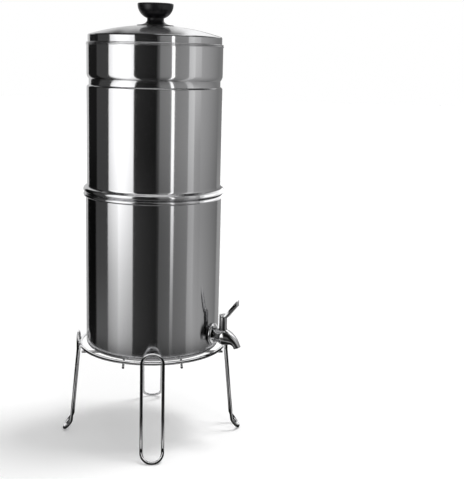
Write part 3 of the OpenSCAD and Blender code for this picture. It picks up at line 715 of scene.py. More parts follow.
class FILTER_OT_stand(bpy.types.Operator):
    """Bends and welds the wire stand: ring, rest wires and four looped legs"""
    bl_idname = "filter.stand"
    bl_label = "Wire Stand"

    def execute(self, context):
        s = context.scene.filter_stand
        ring = Wire(s.ring_wire, (s.ring_radius, 0, s.ring_height), (0, 1, 0))
        bmesh.ops.spin(ring.bm, geom=ring.ring + ring.edges(), cent=(0, 0, 0), axis=(0, 0, 1),
                       angle=TURN, steps=ROUND_STEPS, use_merge=True)
        piece(ring.bm, "support_ring", "stand", "stand_wire", "stand_ring")
        end_round = 0.5 * MM
        for level, turn in (("upper", 0), ("lower", 90)):
            node = "rest_wires_" + level
            z = (low(node) + high(node)) / 2 * MM
            bm = bmesh.new()
            for y in (-s.rest_offset, s.rest_offset):
                wire = Wire(s.rest_wire, (-s.rest_reach, y, z), (1, 0, 0), bm=bm)
                first = list(wire.ring)
                wire.straight((2 * s.rest_reach, 0, 0))
                wire.cap(first)
                wire.cap(wire.ring)
            bevelled(bm, end_round, 60)
            rotated(bm, math.radians(turn))
            piece(bm, "rest_rods_" + level, "stand", "stand_wire", node)
        for name, turn in (("front", -90), ("right", 0), ("back", 90), ("left", 180)):
            bm = rotated(self.leg(s), math.radians(turn))
            piece(bm, "looped_leg_" + name, "stand", "stand_wire", "leg_" + name)
        return {"FINISHED"}

    def leg(self, s):
        """One closed loop of wire that stands outward along +X."""
        half = s.leg_width / 2
        top = high("leg_right") * MM
        leg_r = low("leg_right", 0) * MM + s.leg_wire / 2
        arch = top - s.leg_wire / 2 - half
        kink = s.ring_height - s.kink_drop
        foot = s.leg_wire / 2 + half * math.cos(s.foot_slope)
        bend_z = foot + s.foot_bend * (math.sin(s.foot_slope) - math.sin(s.splay))
        splay_z = kink - s.kink_bend * math.sin(s.splay)
        splay_r = leg_r + s.kink_bend * (1 - math.cos(s.splay))
        run = (splay_z - bend_z) / math.cos(s.splay)
        down = Vector((math.sin(s.splay), 0, -math.cos(s.splay))) * run
        bend_r = splay_r + down.x
        bend_c = (bend_r + s.foot_bend * math.cos(s.splay), 0,
                  bend_z + s.foot_bend * math.sin(s.splay))
        foot_r = bend_c[0] - s.foot_bend * math.cos(s.foot_slope)
        kink_c = (leg_r + s.kink_bend, 0, kink)
        tilt = s.foot_slope - s.splay
        wire = Wire(s.leg_wire, (leg_r, -half, arch), (0, 0, -1))
        wire.straight((0, 0, kink - arch))
        wire.bend(kink_c, (0, -1, 0), s.splay, 4)
        wire.straight(down)
        wire.bend(bend_c, (0, -1, 0), tilt, 8)
        across = Vector((-math.cos(s.foot_slope), 0, -math.sin(s.foot_slope)))
        wire.bend((foot_r, 0, foot), -across, math.pi, 32)
        wire.bend(bend_c, (0, 1, 0), tilt, 8)
        wire.straight(-down)
        wire.bend(kink_c, (0, 1, 0), s.splay, 4)
        wire.straight((0, 0, arch - kink))
        wire.bend((leg_r, 0, arch), (1, 0, 0), math.pi, 32)
        return wire.bm


# ---- the chambers ----

class FILTER_OT_lower_chamber(bpy.types.Operator):
    """Spins the lower chamber with its rolled rim and cuts the hole for the tap"""
    bl_idname = "filter.lower_chamber"
    bl_label = "Lower Chamber"

    def execute(self, context):
        s, tap = context.scene.filter_vessel, context.scene.filter_tap
        r, t, z = s.body_radius, s.sheet, s.base_height
        round_z = z + s.base_round
        outline = Outline(0, z).line(r - s.base_round, z)
        outline.arc(r - s.base_round, round_z, math.pi / 2, 12)
        outline.line(r, s.lower_rim - s.rim_height)
        outline.bulge(r, s.lower_rim - s.rim_height / 2, s.rim_out, s.rim_height, 20)
        outline.line(r - t, s.lower_rim).line(r - t, round_z)
        outline.arc(r - s.base_round, round_z, -math.pi / 2, 12).line(0, z + t)
        through = 10 * MM
        hole = rod(tap.shank + HOLE_GAP, r - through, r + through, 64)
        hole = place_at_tap(along_u(hole, tap.height))
        mesh = boolean_mesh(outline.turned(), [hole], "lower_vessel_shell")
        shown(mesh, "lower_vessel_shell", "lower_vessel", "vessel_steel", "lower_chamber", 50)
        return {"FINISHED"}


class FILTER_OT_upper_chamber(bpy.types.Operator):
    """Spins the upper chamber with its floor, bead, groove and rim"""
    bl_idname = "filter.upper_chamber"
    bl_label = "Upper Chamber"

    def execute(self, context):
        s, candle = context.scene.filter_vessel, context.scene.filter_candle
        seat = s.lower_rim + SEAT_GAP
        r, fr, z = s.upper_radius, s.floor_round, s.upper_floor
        outline = Outline(0, z).line(r - fr, z).arc(r - fr, z + fr, math.pi / 2, 10)
        self.wall(outline, s, seat, 0)
        outline.line(r, s.upper_rim - s.top_rim_height)
        outline.bulge(r, s.upper_rim - s.top_rim_height / 2, s.top_rim_out, s.top_rim_height, 12)
        outline.line(r - s.sheet, s.upper_rim)
        inner = Outline(0, z + s.sheet).line(r - fr, z + s.sheet)
        inner.arc(r - fr, z + fr, math.pi / 2, 10)
        self.wall(inner, s, seat, s.sheet)
        inner.line(r - s.sheet, s.upper_rim)
        outline.join(inner)
        through = 5 * MM
        holes = []
        for quarter in range(4):
            way = Vector((candle.pitch, 0, 0))
            way.rotate(Matrix.Rotation(quarter * math.pi / 2, 3, "Z"))
            hole = rod(candle.stem + HOLE_GAP, z - through, z + through, 48)
            holes.append(moved(hole, *way))
        mesh = boolean_mesh(outline.turned(), holes, "upper_vessel_shell")
        shown(mesh, "upper_vessel_shell", "upper_vessel", "vessel_steel", "upper_chamber", 50)
        return {"FINISHED"}

    def wall(self, outline, s, seat, depth):
        """The wall from the floor's edge to the rim, at a depth below its outer face."""
        r = s.upper_radius
        bead_r, bead_z = r + s.bead_out - s.bead_radius, seat + s.bead_radius
        reach = s.bead_radius + s.bead_fillet
        rise = math.sqrt(reach ** 2 - (r + s.bead_fillet - bead_r) ** 2)
        lean = math.atan2(rise, r + s.bead_fillet - bead_r)
        start = math.acos((r - depth - bead_r) / (s.bead_radius - depth))
        outline.line(bead_r + (s.bead_radius - depth) * math.cos(start),
                     bead_z - (s.bead_radius - depth) * math.sin(start))
        outline.arc(bead_r, bead_z, start + lean, 28)
        outline.arc(r + s.bead_fillet, bead_z + rise, -lean, 10)
        groove = s.upper_rim - s.groove_drop
        lip = math.acos((s.lip_radius - s.groove_depth) / s.lip_radius)
        shoulder = math.acos((s.shoulder_radius - s.groove_depth) / s.shoulder_radius)
        groove_r = r - s.groove_depth - depth
        outline.line(r - depth, groove - s.lip_radius)
        outline.arc(r - s.lip_radius, groove - s.lip_radius, lip, 12)
        outline.line(groove_r, groove - s.lip_radius + s.lip_radius * math.sin(lip) - depth)
        outline.line(groove_r, groove + s.groove_height + depth)
        top = groove + s.groove_height + s.shoulder_radius * math.sin(shoulder)
        inner = s.shoulder_radius - depth
        outline.line(r - s.shoulder_radius + inner * math.cos(shoulder),
                     top - inner * math.sin(shoulder))
        outline.arc(r - s.shoulder_radius, top, shoulder, 14)


# ---- lid and knob ----

class FILTER_OT_lid(bpy.types.Operator):
    """Spins the domed lid with its flange and collar"""
    bl_idname = "filter.lid"
    bl_label = "Lid"

    def execute(self, context):
        s = context.scene.filter_lid
        r, t, z, corner = s.radius, s.sheet, s.seat, 0.4 * MM
        dome = (r ** 2 + s.rise ** 2) / (2 * s.rise)
        centre = z + s.side + s.rise - dome
        edge = centre + math.sqrt((dome - s.edge_round) ** 2 - (r - s.edge_round) ** 2)
        lean = math.atan2(edge - centre, r - s.edge_round)
        outline = Outline(r, z - s.collar).line(r, z)
        outline.bulge(r + s.flange_out - s.flange_thick / 2, z + s.flange_thick / 2,
                      s.flange_thick / 2, s.flange_thick, 10)
        outline.line(r + corner, z + s.flange_thick)
        outline.arc(r + corner, z + s.flange_thick + corner, -math.pi / 2, 4)
        outline.line(r, edge).arc(r - s.edge_round, edge, lean, 10)
        stop = math.acos(s.screw_hole / dome)
        outline.arc(0, centre, stop - lean, 40)
        stop = math.acos(s.screw_hole / (dome - t))
        outline.line((dome - t) * math.cos(stop), centre + (dome - t) * math.sin(stop))
        outline.arc(0, centre, lean - stop, 40)
        outline.arc(r - s.edge_round, edge, -lean, 10)
        outline.line(r - t, z - s.collar).line(r, z - s.collar)
        piece(outline.turned(), "lid_dome", "lid", "vessel_steel", "lid", 50)
        return {"FINISHED"}


class FILTER_OT_knob(bpy.types.Operator):
    """Moulds the black knob and finishes the insert, screw and washer that hold it"""
    bl_idname = "filter.knob"
    bl_label = "Knob"

    def execute(self, context):
        s = context.scene.filter_knob
        z = s.foot
        bowl = z + s.height - s.top_round
        bowl_r = s.radius - s.bowl_curve
        start = math.acos((s.neck - bowl_r) / s.bowl_curve)
        insert = high("knob_insert") * MM + FIT_GAP
        bore = high("knob_insert", 0) * MM + FIT_GAP
        lip, corner = 1.5 * MM, 0.3 * MM
        outline = Outline(0, insert).line(bore, insert)
        outline.line(bore, low("knob_insert") * MM)
        outline.line(s.foot_radius - lip, z).line(s.foot_radius - corner, z)
        outline.arc(s.foot_radius - corner, z + corner, math.pi / 2, 4)
        outline.line(s.foot_radius, z + s.foot_edge - corner)
        outline.arc(s.foot_radius - corner, z + s.foot_edge - corner, math.pi / 2, 4)
        # The foot flares as a quarter ellipse that meets the neck upright
        outline.ellipse(s.foot_radius, z + s.neck_height, s.foot_radius - s.neck,
                        s.neck_height - s.foot_edge, 270, 180, 24)
        outline.line(bowl_r + s.bowl_curve * math.cos(start),
                     bowl - s.bowl_curve * math.sin(start))
        outline.arc(bowl_r, bowl, start, 28)
        outline.arc(s.radius - s.top_round, bowl, math.pi / 2, 10)
        outline.line(0, z + s.height)
        piece(outline.turned(128), "black_knob", "lid", "knob_phenolic", "lid_knob", 35)
        dress("knob_insert", "tap_brass")
        dress("knob_screw", "screw_steel")
        dress("knob_washer", "screw_steel")
        return {"FINISHED"}


# ---- the tap ----

def along(guides, t):
    """A point of the curve that starts and ends at the first and last guide point."""
    while len(guides) > 1:
        guides = [a.lerp(b, t) for a, b in zip(guides, guides[1:])]
    return guides[0]


class FILTER_OT_tap(bpy.types.Operator):
    """Casts the tap's body and adds its flange, washers, nut and bonnet"""
    bl_idname = "filter.tap"
    bl_label = "Tap"

    def execute(self, context):
        s = context.scene.filter_tap
        self.body(s)
        self.flange(s)
        self.bonnet(s)
        dress("tap_washer_outer", "black_rubber")
        dress("tap_washer_inner", "black_rubber")
        dress("tap_nut", "tap_brass")
        return {"FINISHED"}

    def body(self, s):
        face = s.flange_back + s.flange_thick
        v, z = s.valve_reach, s.height
        way = Vector((math.sin(s.outlet_tilt), 0, -math.cos(s.outlet_tilt)))
        outlet = Vector((v + s.outlet_reach, 0, z - s.outlet_drop))
        corner, overlap, past_mouth, past_link = 0.6 * MM, 1 * MM, 3 * MM, 1.5 * MM
        shank = Outline(0, s.shank_inner).line(s.shank - corner, s.shank_inner)
        shank.line(s.shank, s.shank_inner + corner).line(s.shank, face + overlap)
        shank = along_u(shank.line(0, face + overlap).turned(64), z)
        guides = [Vector((face, 0, z)), Vector((v + s.bend_reach, 0, z - s.bend_drop)),
                  outlet - s.outlet_pull * way, outlet]
        casting = union(shank, self.horn(s, guides, way))
        mouth = aimed(rod(s.outlet_bore, -s.outlet_bore_length, past_mouth, 64), outlet, way)
        well = moved(rod(s.valve_bore, z - s.valve_low, z + 2 * s.valve_high, 64), x=v)
        bore = along_u(rod(s.water_way, s.shank_inner - overlap, v, 48), z)
        valve = Vector((v, 0, z))
        inner = outlet - s.outlet_bore_length * way - valve
        link = aimed(rod(s.water_way, 0, inner.length + past_link, 48), valve, inner)
        mesh = boolean_mesh(casting, [mouth, well, bore, link], "tap_casting")
        piece(place_at_tap(as_bmesh(mesh)), "tap_casting", "lower_vessel", "tap_chrome",
              "tap_body", 50)

    def horn(self, s, guides, way):
        """The curved outside of the body, ring by ring from the flange to the rounded mouth."""
        lip, rings, lip_rings, step = 0.5 * MM, 56, 6, 0.001
        rows = []
        for i in range(rings):
            t = i / rings * (1 - lip / s.outlet_pull)
            ahead = along(guides, t + step) - along(guides, t - step)
            rows.append((along(guides, t), ahead if i else Vector((1, 0, 0)), self.girth(s, t)))
        for i in range(lip_rings + 1):
            a = math.pi / 2 * i / lip_rings
            rows.append((guides[-1] - lip * (1 - math.sin(a)) * way, way,
                         s.spout_radius - lip * (1 - math.cos(a))))
        bm = bmesh.new()
        last = None
        for centre, ahead, radius in rows:
            place = (Matrix.Translation(centre)
                     @ Matrix.Rotation(math.atan2(ahead.x, ahead.z), 4, "Y"))
            ring = bmesh.ops.create_circle(bm, segments=64, radius=radius, matrix=place)["verts"]
            edges = edges_among(bm, ring)
            if last:
                bmesh.ops.bridge_loops(bm, edges=last + edges)
            else:
                bmesh.ops.contextual_create(bm, geom=list(ring))
            last = edges
        bmesh.ops.contextual_create(bm, geom=list(ring))
        bmesh.ops.recalc_face_normals(bm, faces=bm.faces[:])
        return bm

    def girth(self, s, t, swell_at=0.3):
        """The body's radius, which swells to the valve and then tapers to the outlet."""
        if t < swell_at:
            return s.root + (s.valve_radius - s.root) * (1 - math.cos(math.pi * t / swell_at)) / 2
        part = math.sin(math.pi / 2 * (t - swell_at) / (1 - swell_at)) ** 1.5
        return s.valve_radius + (s.spout_radius - s.valve_radius) * part

    def flange(self, s):
        back, r, hole = s.flange_back, s.flange_radius, s.shank + HOLE_GAP
        lip, edge, corner = back - s.flange_lip, 1 * MM, 0.3 * MM
        outline = Outline(hole, back).line(r - 2 * MM, back)
        outline.line(r - 1.5 * MM, lip).line(r - corner, lip)
        outline.arc(r - corner, lip + corner, math.pi / 2, 4)
        outline.ellipse(s.root, lip + edge, r - s.root, s.flange_thick + s.flange_lip - edge,
                        2.5, 90, 25)
        outline.line(hole, back + s.flange_thick).line(hole, back)
        bm = place_at_tap(along_u(outline.turned(128), s.height))
        piece(bm, "tap_wall_flange", "lower_vessel", "tap_chrome", "tap_flange")

    def bonnet(self, s):
        hi = s.height + s.valve_high
        top = hi + s.bonnet_height
        bore, edge = s.stem + FIT_GAP, 0.8 * MM
        lo, thread = low("tap_bonnet") * MM, s.valve_bore - FIT_GAP
        outline = Outline(bore, lo).line(thread, lo).line(thread, hi)
        outline.line(s.bonnet_radius, hi).line(s.bonnet_radius, top - edge)
        outline.arc(s.bonnet_radius - edge, top - edge, math.pi / 2, 8)
        outline.line(bore, top).line(bore, lo)
        bm = place_at_tap(moved(outline.turned(96), x=s.valve_reach))
        piece(bm, "tap_bonnet_sleeve", "lower_vessel", "tap_chrome", "tap_bonnet")


class FILTER_OT_tap_lever(bpy.types.Operator):
    """Shapes the lever and finishes the plug, its rings and the lever's screw"""
    bl_idname = "filter.tap_lever"
    bl_label = "Tap Lever"

    def execute(self, context):
        s = context.scene.filter_tap
        hub_low = s.height + s.valve_high + s.bonnet_height + SEAT_GAP
        hub_top = hub_low + s.hub_height
        plug_top = high("valve_plug") * MM
        past, past_tip, into_plug = 1 * MM, 5 * MM, 0.3 * MM
        whole = union(self.bar(s, hub_low, hub_top), self.hub(s, hub_low, hub_top))
        socket = rod(s.stem + FIT_GAP, hub_low - past, plug_top + FIT_GAP, 48)
        pilot = rod(s.screw, plug_top - into_plug, hub_top + past, 48)
        recess = rod(s.recess, hub_top - s.recess_depth, hub_top + s.lever_lift + past_tip, 48)
        cutters = [moved(bm, x=s.valve_reach) for bm in (socket, pilot, recess)]
        mesh = boolean_mesh(whole, cutters, "tap_handle")
        piece(place_at_tap(as_bmesh(mesh)), "tap_handle", "lever", "tap_chrome", "tap_lever", 35)
        dress("valve_plug", "tap_brass")
        dress("valve_rings", "black_rubber")
        dress("lever_screw", "screw_steel")
        return {"FINISHED"}

    def bar(self, s, hub_low, hub_top):
        """The rising bar, drawn from the side and made wider towards its tip."""
        v = s.valve_reach
        slope = s.lever_lift / (s.lever_reach - s.lever_root)
        drop = s.lever_depth * math.sqrt(1 + slope * slope)
        tip, tip_top = v + s.lever_reach, hub_top + s.lever_lift
        # The bar's flat faces stay inside the hub's, so that no two lie in one plane
        inside, flat = 0.33 * MM, hub_low + 0.05 * MM
        side = [(v + inside, flat),
                (v + s.lever_root + (drop - s.hub_height + flat - hub_low) / slope, flat),
                (tip, tip_top - drop), (tip, tip_top - 1 * MM), (tip - 0.8 * MM, tip_top),
                (v + s.lever_root - inside / slope, hub_top - inside),
                (v + inside, hub_top - inside)]
        bm = bmesh.new()
        wide = s.bonnet_radius - 0.6 * MM
        face = bm.faces.new([bm.verts.new((u, -wide, z)) for u, z in side])
        made = bmesh.ops.extrude_face_region(bm, geom=[face])["geom"]
        far = [g for g in made if isinstance(g, bmesh.types.BMVert)]
        bmesh.ops.translate(bm, verts=far, vec=(0, 2 * wide, 0))
        for vert in bm.verts:
            t = (vert.co.x - v) / s.lever_reach
            vert.co.y *= 1 + (s.lever_tip / 2 / wide - 1) * t
        bmesh.ops.recalc_face_normals(bm, faces=bm.faces[:])
        corners = [e for e in bm.edges if all(abs(w.co.x - tip) < 1 * MM for w in e.verts)
                   and abs(e.verts[0].co.z - e.verts[1].co.z) > 2 * MM]
        bmesh.ops.bevel(bm, geom=corners, offset=1.6 * MM, offset_type="OFFSET", segments=5,
                        profile=0.5, affect="EDGES", material=-1)
        return bevelled(bm, 0.6 * MM, 35)

    def hub(self, s, lo, top):
        r, corner = s.bonnet_radius, 0.5 * MM
        outline = Outline(0, lo).line(r, lo).line(r, top - corner)
        outline.arc(r - corner, top - corner, math.pi / 2, 6).line(0, top)
        return moved(outline.turned(96), x=s.valve_reach)


# ---- candles and plugs ----

class FILTER_OT_candles(bpy.types.Operator):
    """Makes the two filter candles with their bases, washers and wing nuts"""
    bl_idname = "filter.candles"
    bl_label = "Filter Candles"

    def execute(self, context):
        s = context.scene.filter_candle
        for side, x in (("left", -s.pitch), ("right", s.pitch)):
            shell, base = moved(self.shell(s), x=x), moved(self.base(s), x=x)
            piece(shell, "ceramic_" + side, "upper_vessel", "candle_ceramic",
                  "candle_shell_" + side)
            piece(base, "base_cup_" + side, "upper_vessel", "candle_plastic",
                  "candle_base_" + side, 30)
            dress("wing_nut_" + side, "nut_plastic")
        dress("candle_washers", "black_rubber")
        return {"FINISHED"}

    def shell(self, s):
        """A hollow shell with a round crown."""
        r, floor, crown = s.radius, s.foot + s.base_floor, s.top - s.radius
        shell = Outline(r - s.wall, floor).line(r, floor).line(r, crown)
        shell.arc(0, crown, math.pi / 2, 24).line(0, crown + r - s.wall)
        shell.arc(0, crown, -math.pi / 2, 20).line(r - s.wall, floor)
        return shell.turned(96)

    def base(self, s):
        """The cup under a shell, with its threaded stem."""
        r, fit = s.radius + s.base_wall, s.radius + FIT_GAP
        floor, top = s.foot + s.base_floor, s.foot + s.base_height
        tip, corner, edge, plain = 0.5 * MM, 1 * MM, 0.4 * MM, 4 * MM
        base = Outline(s.stem_bore, s.stem_low).line(s.stem - tip, s.stem_low)
        base.line(s.stem, s.stem_low + tip)
        self.thread(base, s.stem, s.stem_low + tip, s.foot - plain)
        base.line(s.stem, s.foot).line(r - corner, s.foot)
        base.arc(r - corner, s.foot + corner, math.pi / 2, 6).line(r, top - edge)
        base.arc(r - edge, top - edge, math.pi / 2, 4)
        base.line(fit, top).line(fit, floor)
        base.line(s.stem_bore, floor).line(s.stem_bore, s.stem_low)
        return base.turned(96)

    def thread(self, outline, radius, z, top):
        """Rounded ridges up to a height, that stand inside the thread's outer radius."""
        pitch, depth = 1.5 * MM, 0.35 * MM
        while z + pitch < top:
            outline.line(radius, z + 0.35 * pitch).line(radius - depth, z + 0.6 * pitch)
            outline.line(radius - depth, z + 0.75 * pitch).line(radius, z + pitch)
            z += pitch


class FILTER_OT_plugs(bpy.types.Operator):
    """Finishes the plugs that close the two floor holes without a candle"""
    bl_idname = "filter.plugs"
    bl_label = "Blanking Plugs"

    def execute(self, context):
        dress("blanking_plugs", "candle_plastic")
        dress("blanking_washers", "black_rubber")
        dress("blanking_nuts", "nut_plastic")
        return {"FINISHED"}


# ---- the studio ----

# Soft boxes and flags that only reflections show, each a strip of a drum round the filter:
# first and last bearing from the front towards +X in degrees, the share of its light at each
# of the two edges, and its brightness at each of the heights
CARD_HEIGHTS = (0.060, 0.085, 0.22, 0.34, 0.47, 0.61)
CARDS = [
    ("back_left", -180, -130, 1, 0.9, (0.02, 0.42, 0.45, 0.55, 0.66, 0.65)),
    ("flag_left", -130, -98, 1, 1, (0.01, 0.008, 0.003, 0.003, 0.010, 0.012)),
    ("grey_left", -98, -70.4, 1, 1, (0.01, 0.120, 0.068, 0.056, 0.057, 0.057)),
    ("soft_box_left", -70.4, -52, 0.65, 1, (0.01, 0.50, 0.70, 1.12, 1.55, 1.60)),
    ("soft_box_middle", -52, -29.4, 1, 0.68, (0.01, 0.55, 0.86, 1.30, 1.70, 1.75)),
    ("flag_front", -29.4, 2.5, 1, 0.42, (0.01, 0.050, 0.042, 0.042, 0.022, 0.032)),
    ("grey_front", 2.5, 7.0, 0.3, 0.9, (0.01, 0.045, 0.050, 0.038, 0.12, 0.135)),
    ("grey_middle", 7.0, 23.6, 0.78, 0.95, (0.01, 0.130, 0.120, 0.128, 0.225, 0.290)),
    ("strip_light", 23.6, 27.8, 1, 1, (0.01, 0.20, 0.46, 0.92, 1.50, 1.70)),
    ("grey_right", 27.8, 49.5, 0.85, 1.05, (0.01, 0.19, 0.19, 0.20, 0.28, 0.285)),
    ("soft_box_right", 49.5, 60, 0.85, 1, (0.01, 0.42, 0.46, 0.45, 0.63, 0.76)),
    ("soft_box_far", 60, 72, 1, 0.85, (0.01, 0.42, 0.37, 0.335, 0.385, 0.63)),
    ("wall_right", 72, 120, 1, 0.50, (0.02, 0.375, 0.345, 0.30, 0.37, 0.41)),
    ("back_right", 120, 180, 0.9, 1, (0.02, 0.34, 0.37, 0.36, 0.25, 0.23)),
]
# The same for the taller strips over them, which the lid's dome shows
TALL_HEIGHTS = (0.705, 0.77, 0.82, 0.86, 0.90, 0.94)
TALL_CARDS = [
    ("tall_far_left", -180, -172, 1, 1, (0.80, 0.72, 0.66, 0.60, 0.40, 0.10)),
    ("tall_left", -172, -165, 1, 1, (0.80, 0.70, 0.62, 0.40, 0.08, 0.03)),
    ("tall_near_left", -165, -115, 1, 0.5, (0.80, 0.66, 0.16, 0.05, 0.03, 0.03)),
    ("tall_front", -115, 115, 1, 1, (0.03, 0.02, 0.02, 0.02, 0.02, 0.02)),
    ("tall_right", 115, 165, 0.5, 1, (1.05, 1.15, 1.25, 1.25, 1.25, 0.60)),
    ("tall_mid_right", 165, 172, 1, 1, (1.05, 1.00, 0.90, 0.50, 0.12, 0.05)),
    ("tall_far_right", 172, 180, 1, 1, (0.90, 0.80, 0.60, 0.50, 0.20, 0.05)),
]
CARD_DISTANCE = 0.34
CARD_TOP = 0.705
TALL_CARD_TOP = 1.1
# A flag overhead, that only the rounded edge of the lid shows: its bearings and brightness
LID_FLAG = ("lid_flag", -180, 69, 0.03)
# How far inside the start of that edge it is still shown
INSIDE_EDGE = 1 * MM
# Soft boxes and flags round the tap, that only the tap itself shows: bearings from the valve,
# and brightness at each of the heights
TAP_HEIGHTS = (0.05, 0.10, 0.14, 0.17, 0.20, 0.25, 0.32, 0.42, 0.60)
TAP_CARDS = [
    ("tap_left", -64, -38, (0.25, 0.10, 0.06, 0.30, 1.25, 1.40, 1.20, 0.02, 0.02)),
    ("tap_near_left", -38, -24, (0.22, 0.08, 0.04, 0.12, 0.85, 0.90, 0.14, 0.01, 0.02)),
    ("tap_flag_left", -24, 0, (0.12, 0.01, 0.04, 0.06, 0.10, 0.005, 0.005, 0.01, 0.03)),
    ("tap_flag", 0, 22, (0.10, 0.005, 0.005, 0.005, 0.01, 0.005, 0.005, 0.02, 0.04)),
    ("tap_grey", 22, 42, (0.30, 0.14, 0.01, 0.03, 0.28, 0.26, 0.06, 0.05, 0.06)),
    ("tap_near_right", 42, 62, (0.40, 0.20, 0.12, 0.16, 0.40, 0.65, 0.45, 0.25, 0.10)),
    ("tap_right", 62, 82, (0.60, 0.40, 0.32, 0.26, 0.24, 0.26, 0.50, 0.85, 0.30)),
    ("tap_far_right", 82, 122, (0.80, 0.45, 0.22, 0.24, 0.28, 0.62, 1.20, 1.50, 0.30)),
    ("tap_back_right", 122, 142, (0.60, 0.15, 0.22, 0.30, 0.32, 0.30, 0.70, 1.30, 0.30)),
    ("tap_back", 142, 184, (0.35, 0.20, 0.50, 0.90, 0.60, 0.35, 0.90, 1.40, 0.40)),
]
TAP_CARD_DISTANCE = 0.16
TAP_CARD_TOP = 1.4
# A ray comes from the tap if it starts this near to the valve's axis, no further than this below
# the outlet's middle, and this far off the chamber's wall
TAP_REACH = 0.05
BELOW_OUTLET = 6 * MM
OFF_WALL = 1 * MM
# In the wall's mirror image the tap shows none of this light, and its lever this share
MIRRORED_SHARE = 0.12
# The same for the stand's wires: bearings from the middle, brightness at each of the heights,
# and on the floor at each of the distances, where the flat strips are painted shade that the wires
# mirror in place of the shaded floor
WIRE_HEIGHTS = (0.0, 0.02, 0.06, 0.22, 0.28, 0.42)
WIRE_DISTANCES = (0.0, 0.19, 0.21, 0.30, 0.32)
WIRE_CARDS = [
    ("wire_back_left", -180, -122, (1, 1, 1, 1, 1, 1), (0.3, 0.6, 0.9, 0.9, 0.9)),
    ("wire_left", -122, -50, (0.4, 0.1, 0.01, 0.01, 0.02, 1), (0.01, 0.02, 0.40, 0.10, 0.02)),
    ("wire_front_left", -50, -30, (0.01, 0.01, 0.01, 0.01, 0.1, 1), (0.01, 0.01, 0.7, 0.5, 0.2)),
    ("wire_front", -30, 30, (0.005, 0.005, 0.005, 0.02, 1, 1), (0.01, 0.01, 0.45, 0.45, 0.005)),
    ("wire_front_right", 30, 50, (0.01, 0.01, 0.01, 0.01, 0.1, 1), (0.01, 0.01, 0.7, 0.5, 0.2)),
    ("wire_right", 50, 122, (0.4, 0.1, 0.01, 0.01, 0.02, 1), (0.01, 0.02, 0.40, 0.10, 0.02)),
    ("wire_back_right", 122, 180, (1, 1, 1, 1, 1, 1), (0.3, 0.6, 0.9, 0.9, 0.9)),
]
WIRE_CARD_DISTANCE = 0.33
# A ray comes from a wire if it starts this far below the chamber's base or outside its wall
BELOW_BASE = 1 * MM
OUTSIDE_WALL = 4.5 * MM
# Painted shade: grey strips on the floor round the stand that only reflections show, standing in
# for the floor shaded under and round the filter: bearings, shares at the two edges and brightness
# at each of the distances from the middle
FLOOR_SHADE_DISTANCES = (0.0, 0.10, 0.19, 0.235, 0.33)
FLOOR_SHADE_STRIPS = [
    ("cloth_back_left", -180, -100, 0.6, 0.5, (0.30, 0.30, 0.30, 0.15, 0.12)),
    ("cloth_left", -100, -50, 0.3, 0.5, (0.30, 0.30, 0.30, 0.06, 0.03)),
    ("cloth_front", -50, 20, 0.9, 0.9, (0.40, 0.40, 0.40, 0.05, 0.02)),
    ("cloth_right", 20, 110, 0.8, 0.8, (0.40, 0.40, 0.40, 0.06, 0.03)),
    ("cloth_back_right", 110, 180, 0.8, 0.8, (0.40, 0.40, 0.40, 0.20, 0.15)),
]
# Flat strips start this far from the middle, at these heights above the floor
FLAT_START = 1 * MM
FLOOR_SHADE_HEIGHT = 0.5 * MM
WIRE_FLOOR_SHADE_HEIGHT = 1 * MM
FLOOR_SIZE = 12
CAMERA_PLACE = (0, -1.456, 0.61494)
CAMERA_LENS = 68.565
# Pitch, yaw and roll of the camera in degrees
CAMERA_TURN = (-11.23, -5.01, 1.48)


